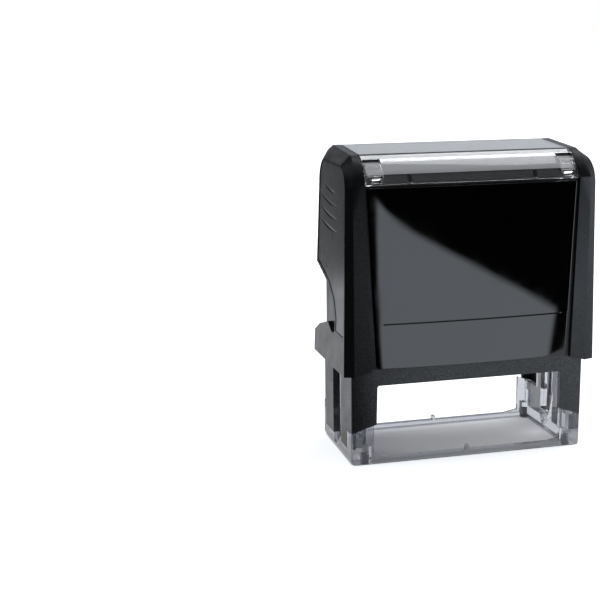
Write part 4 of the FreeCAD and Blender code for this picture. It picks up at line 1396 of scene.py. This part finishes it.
@dataclass
class Studio:
    """Camera, white surroundings, floor, lamps and cards. The lens and sensor are in millimetres."""

    camera_place: Point = (-0.1398, -0.3629, 0.1332)
    yaw: float = math.radians(-13.361)
    pitch: float = math.radians(12.082)
    roll: float = math.radians(-0.767)
    lens: float = 68.4984
    sensor: float = 36.0
    fill: float = 0.38
    mirrored: float = 0.55
    cool: Colour = (0.93, 1.0, 1.09)
    soft: Colour = (0.975, 0.99, 1.015)
    floor_half: float = 9.0
    floor_colour: Colour = (0.87, 0.88, 0.9)
    # Painted shadow round the base: its colour, and the band of distances from the footprint where it lies.
    painted_shadow_colour: Colour = (0.1, 0.1, 0.11)
    painted_shadow_band: Pair = (0.05 * MM, 0.5 * MM)
    footprint: Pair = (40.2 * MM, 17.9 * MM)
    foot_corner: float = 1.2 * MM
    # Painted light on the floor: under the base it grows along X between two levels, just outside the
    # footprint it rises over a band of distances, and far away it tops up to white.
    painted_light_under_x: Pair = (-0.04, 0.04)
    painted_light_under_levels: Pair = (0.03, 0.27)
    painted_light_near: Pair = (0.1 * MM, 0.9 * MM)
    painted_light_near_level: float = 0.7
    far: Pair = (0.03, 0.5)

    def camera(self) -> None:
        """Place the camera, turned by its yaw, pitch and roll."""
        data = bpy.data.cameras.new("camera")
        data.sensor_width = self.sensor
        data.lens = self.lens
        data.clip_start = 0.01
        camera = new_object("camera", data)
        forward = Vector((
            -math.sin(self.yaw) * math.cos(self.pitch),
            math.cos(self.yaw) * math.cos(self.pitch),
            -math.sin(self.pitch)))
        right = Vector((math.cos(self.yaw), math.sin(self.yaw), 0))
        up = right.cross(forward)
        turned_right = right * math.cos(self.roll) + up * math.sin(self.roll)
        turned_up = up * math.cos(self.roll) - right * math.sin(self.roll)
        turn = Matrix((turned_right, turned_up, -forward)).transposed()
        camera.matrix_world = Matrix.Translation(self.camera_place) @ turn.to_4x4()
        bpy.context.scene.camera = camera

    def shown(self, sheet: NodeSheet, unseen: float) -> Socket:
        """Strength of white surroundings, by the kind of ray that meets them.

        Args:
            sheet: Sheet of the world or the floor.
            unseen: Strength for rays that show nothing and only bring light.

        Returns:
            1 to the eye and through glass, less in gloss, unseen for the rest.
        """
        rays = sheet.add("ShaderNodeLightPath").outputs
        indirect = sheet.maths("MAXIMUM", rays["Is Glossy Ray"], rays["Is Transmission Ray"])
        seen = sheet.maths("MAXIMUM", rays["Is Camera Ray"], indirect)
        dimmed = sheet.spread(rays["Is Glossy Ray"], 0.0, 1.0, 1.0, self.mirrored)
        return sheet.maths("MULTIPLY", sheet.spread(seen, 0.0, 1.0, unseen, 1.0), dimmed)

    def world(self) -> None:
        """White surroundings as eye, gloss and glass see them, weaker for the soft light they give."""
        world = bpy.data.worlds.new("studio")
        bpy.context.scene.world = world
        world.use_nodes = True
        sheet = NodeSheet(world.node_tree)
        background = sheet.add("ShaderNodeBackground")
        to_eye = sheet.add("ShaderNodeLightPath").outputs["Is Camera Ray"]
        sheet.link(sheet.tint(to_eye, self.soft, WHITE), background.inputs["Color"])
        sheet.link(self.shown(sheet, self.fill), background.inputs["Strength"])
        sheet.show(background.outputs["Background"], "ShaderNodeOutputWorld")

    def outside(self, sheet: NodeSheet, *place: Socket) -> Socket:
        """Distance outside the rounded rectangle of the base's footprint, below 0 inside it.

        Args:
            sheet: The floor's sheet.
            place: X and Y on the floor.

        Returns:
            The distance.
        """
        past = [
            sheet.maths("SUBTRACT", sheet.maths("ABSOLUTE", axis), reach - self.foot_corner)
            for axis, reach in zip(place, self.footprint)]
        squares = [sheet.maths("POWER", sheet.maths("MAXIMUM", side, 0.0), 2.0) for side in past]
        corner = sheet.maths("SQRT", sheet.maths("ADD", *squares))
        flat = sheet.maths("MINIMUM", sheet.maths("MAXIMUM", *past), 0.0)
        return sheet.maths("SUBTRACT", sheet.maths("ADD", corner, flat), self.foot_corner)

    def floor(self) -> None:
        """Pale floor that keeps the stamp's shadow under the base and is painted white to the eye around it.

        A thin painted shadow darkens the floor's colour round the base's footprint.
        Painted light, the added white, grows from left to right under the base, is
        strong just outside it and reaches full white far away.
        """
        half = self.floor_half
        corners = [(-half, -half, 0), (half, -half, 0), (half, half, 0), (-half, half, 0)]
        floor = new_piece("floor", np.array(corners), [range(len(corners))])
        material, sheet = new_material("pale floor")
        # The floor's emission is painted light: its colour is given here, its strength below.
        shader = sheet.add(
            "ShaderNodeBsdfPrincipled", Roughness=0.9, Specular_IOR_Level=0.0,
            Emission_Color=(0.96, 0.98, 1.0, 1))
        x, y, _ = sheet.axes()
        distance = self.outside(sheet, x, y)
        # Painted shadow: the floor's colour is darkened in a thin band round the footprint, where the base
        # stands on it.
        painted_shadow = sheet.spread(sheet.maths("ABSOLUTE", distance), *self.painted_shadow_band, 1.0, 0.0)
        sheet.link(sheet.tint(painted_shadow, self.floor_colour, self.painted_shadow_colour), shader.inputs["Base Color"])
        # Painted light under the base: weak at the left, stronger to the right.
        under = sheet.spread(x, *self.painted_light_under_x, *self.painted_light_under_levels)
        under = sheet.maths("MULTIPLY", under, sheet.maths("SUBTRACT", 1.0, painted_shadow))
        # Painted light round the base: it rises just outside the footprint and reaches full white far away,
        # which washes out the stamp's shadow there.
        painted_light_near = sheet.spread(distance, *self.painted_light_near, 0.0, self.painted_light_near_level)
        far = sheet.spread(distance, *self.far, 0.0, 1.0 - self.painted_light_near_level)
        glow = sheet.maths("ADD", sheet.maths("MAXIMUM", under, painted_light_near), far)
        sheet.link(sheet.maths("MULTIPLY", self.shown(sheet, 0.0), glow), shader.inputs["Emission Strength"])
        sheet.show(shader.outputs["BSDF"])
        floor.data.materials.append(material)

    def build(self) -> None:
        """Set up the whole studio."""
        bpy.context.scene.view_settings.view_transform = "Standard"
        self.camera()
        self.world()
        self.floor()
        for lamp in LAMPS:
            lamp.build(self.soft)
        for card in CARDS:
            card.build(self.cool)


def main() -> None:
    """Load the frame, build every piece and the studio, and note the sizes."""
    logging.basicConfig(level=logging.INFO, format="%(name)s: %(message)s")
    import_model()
    wardrobe = Wardrobe()
    SoftEdges().build(wardrobe)
    wardrobe.settle(FrontPanel().build(), GLOSS_BLACK, Body.CAP, "front_panel")
    wardrobe.settle(IndexWindow().build(), CLEAR_WINDOW, Body.WINDOW, "index_window")
    wardrobe.settle(IndexCard().build(), CARD, Body.WINDOW, "index_card")
    ReturnSprings().build(wardrobe)
    Studio().build()


if __name__ == "__main__":
    main()
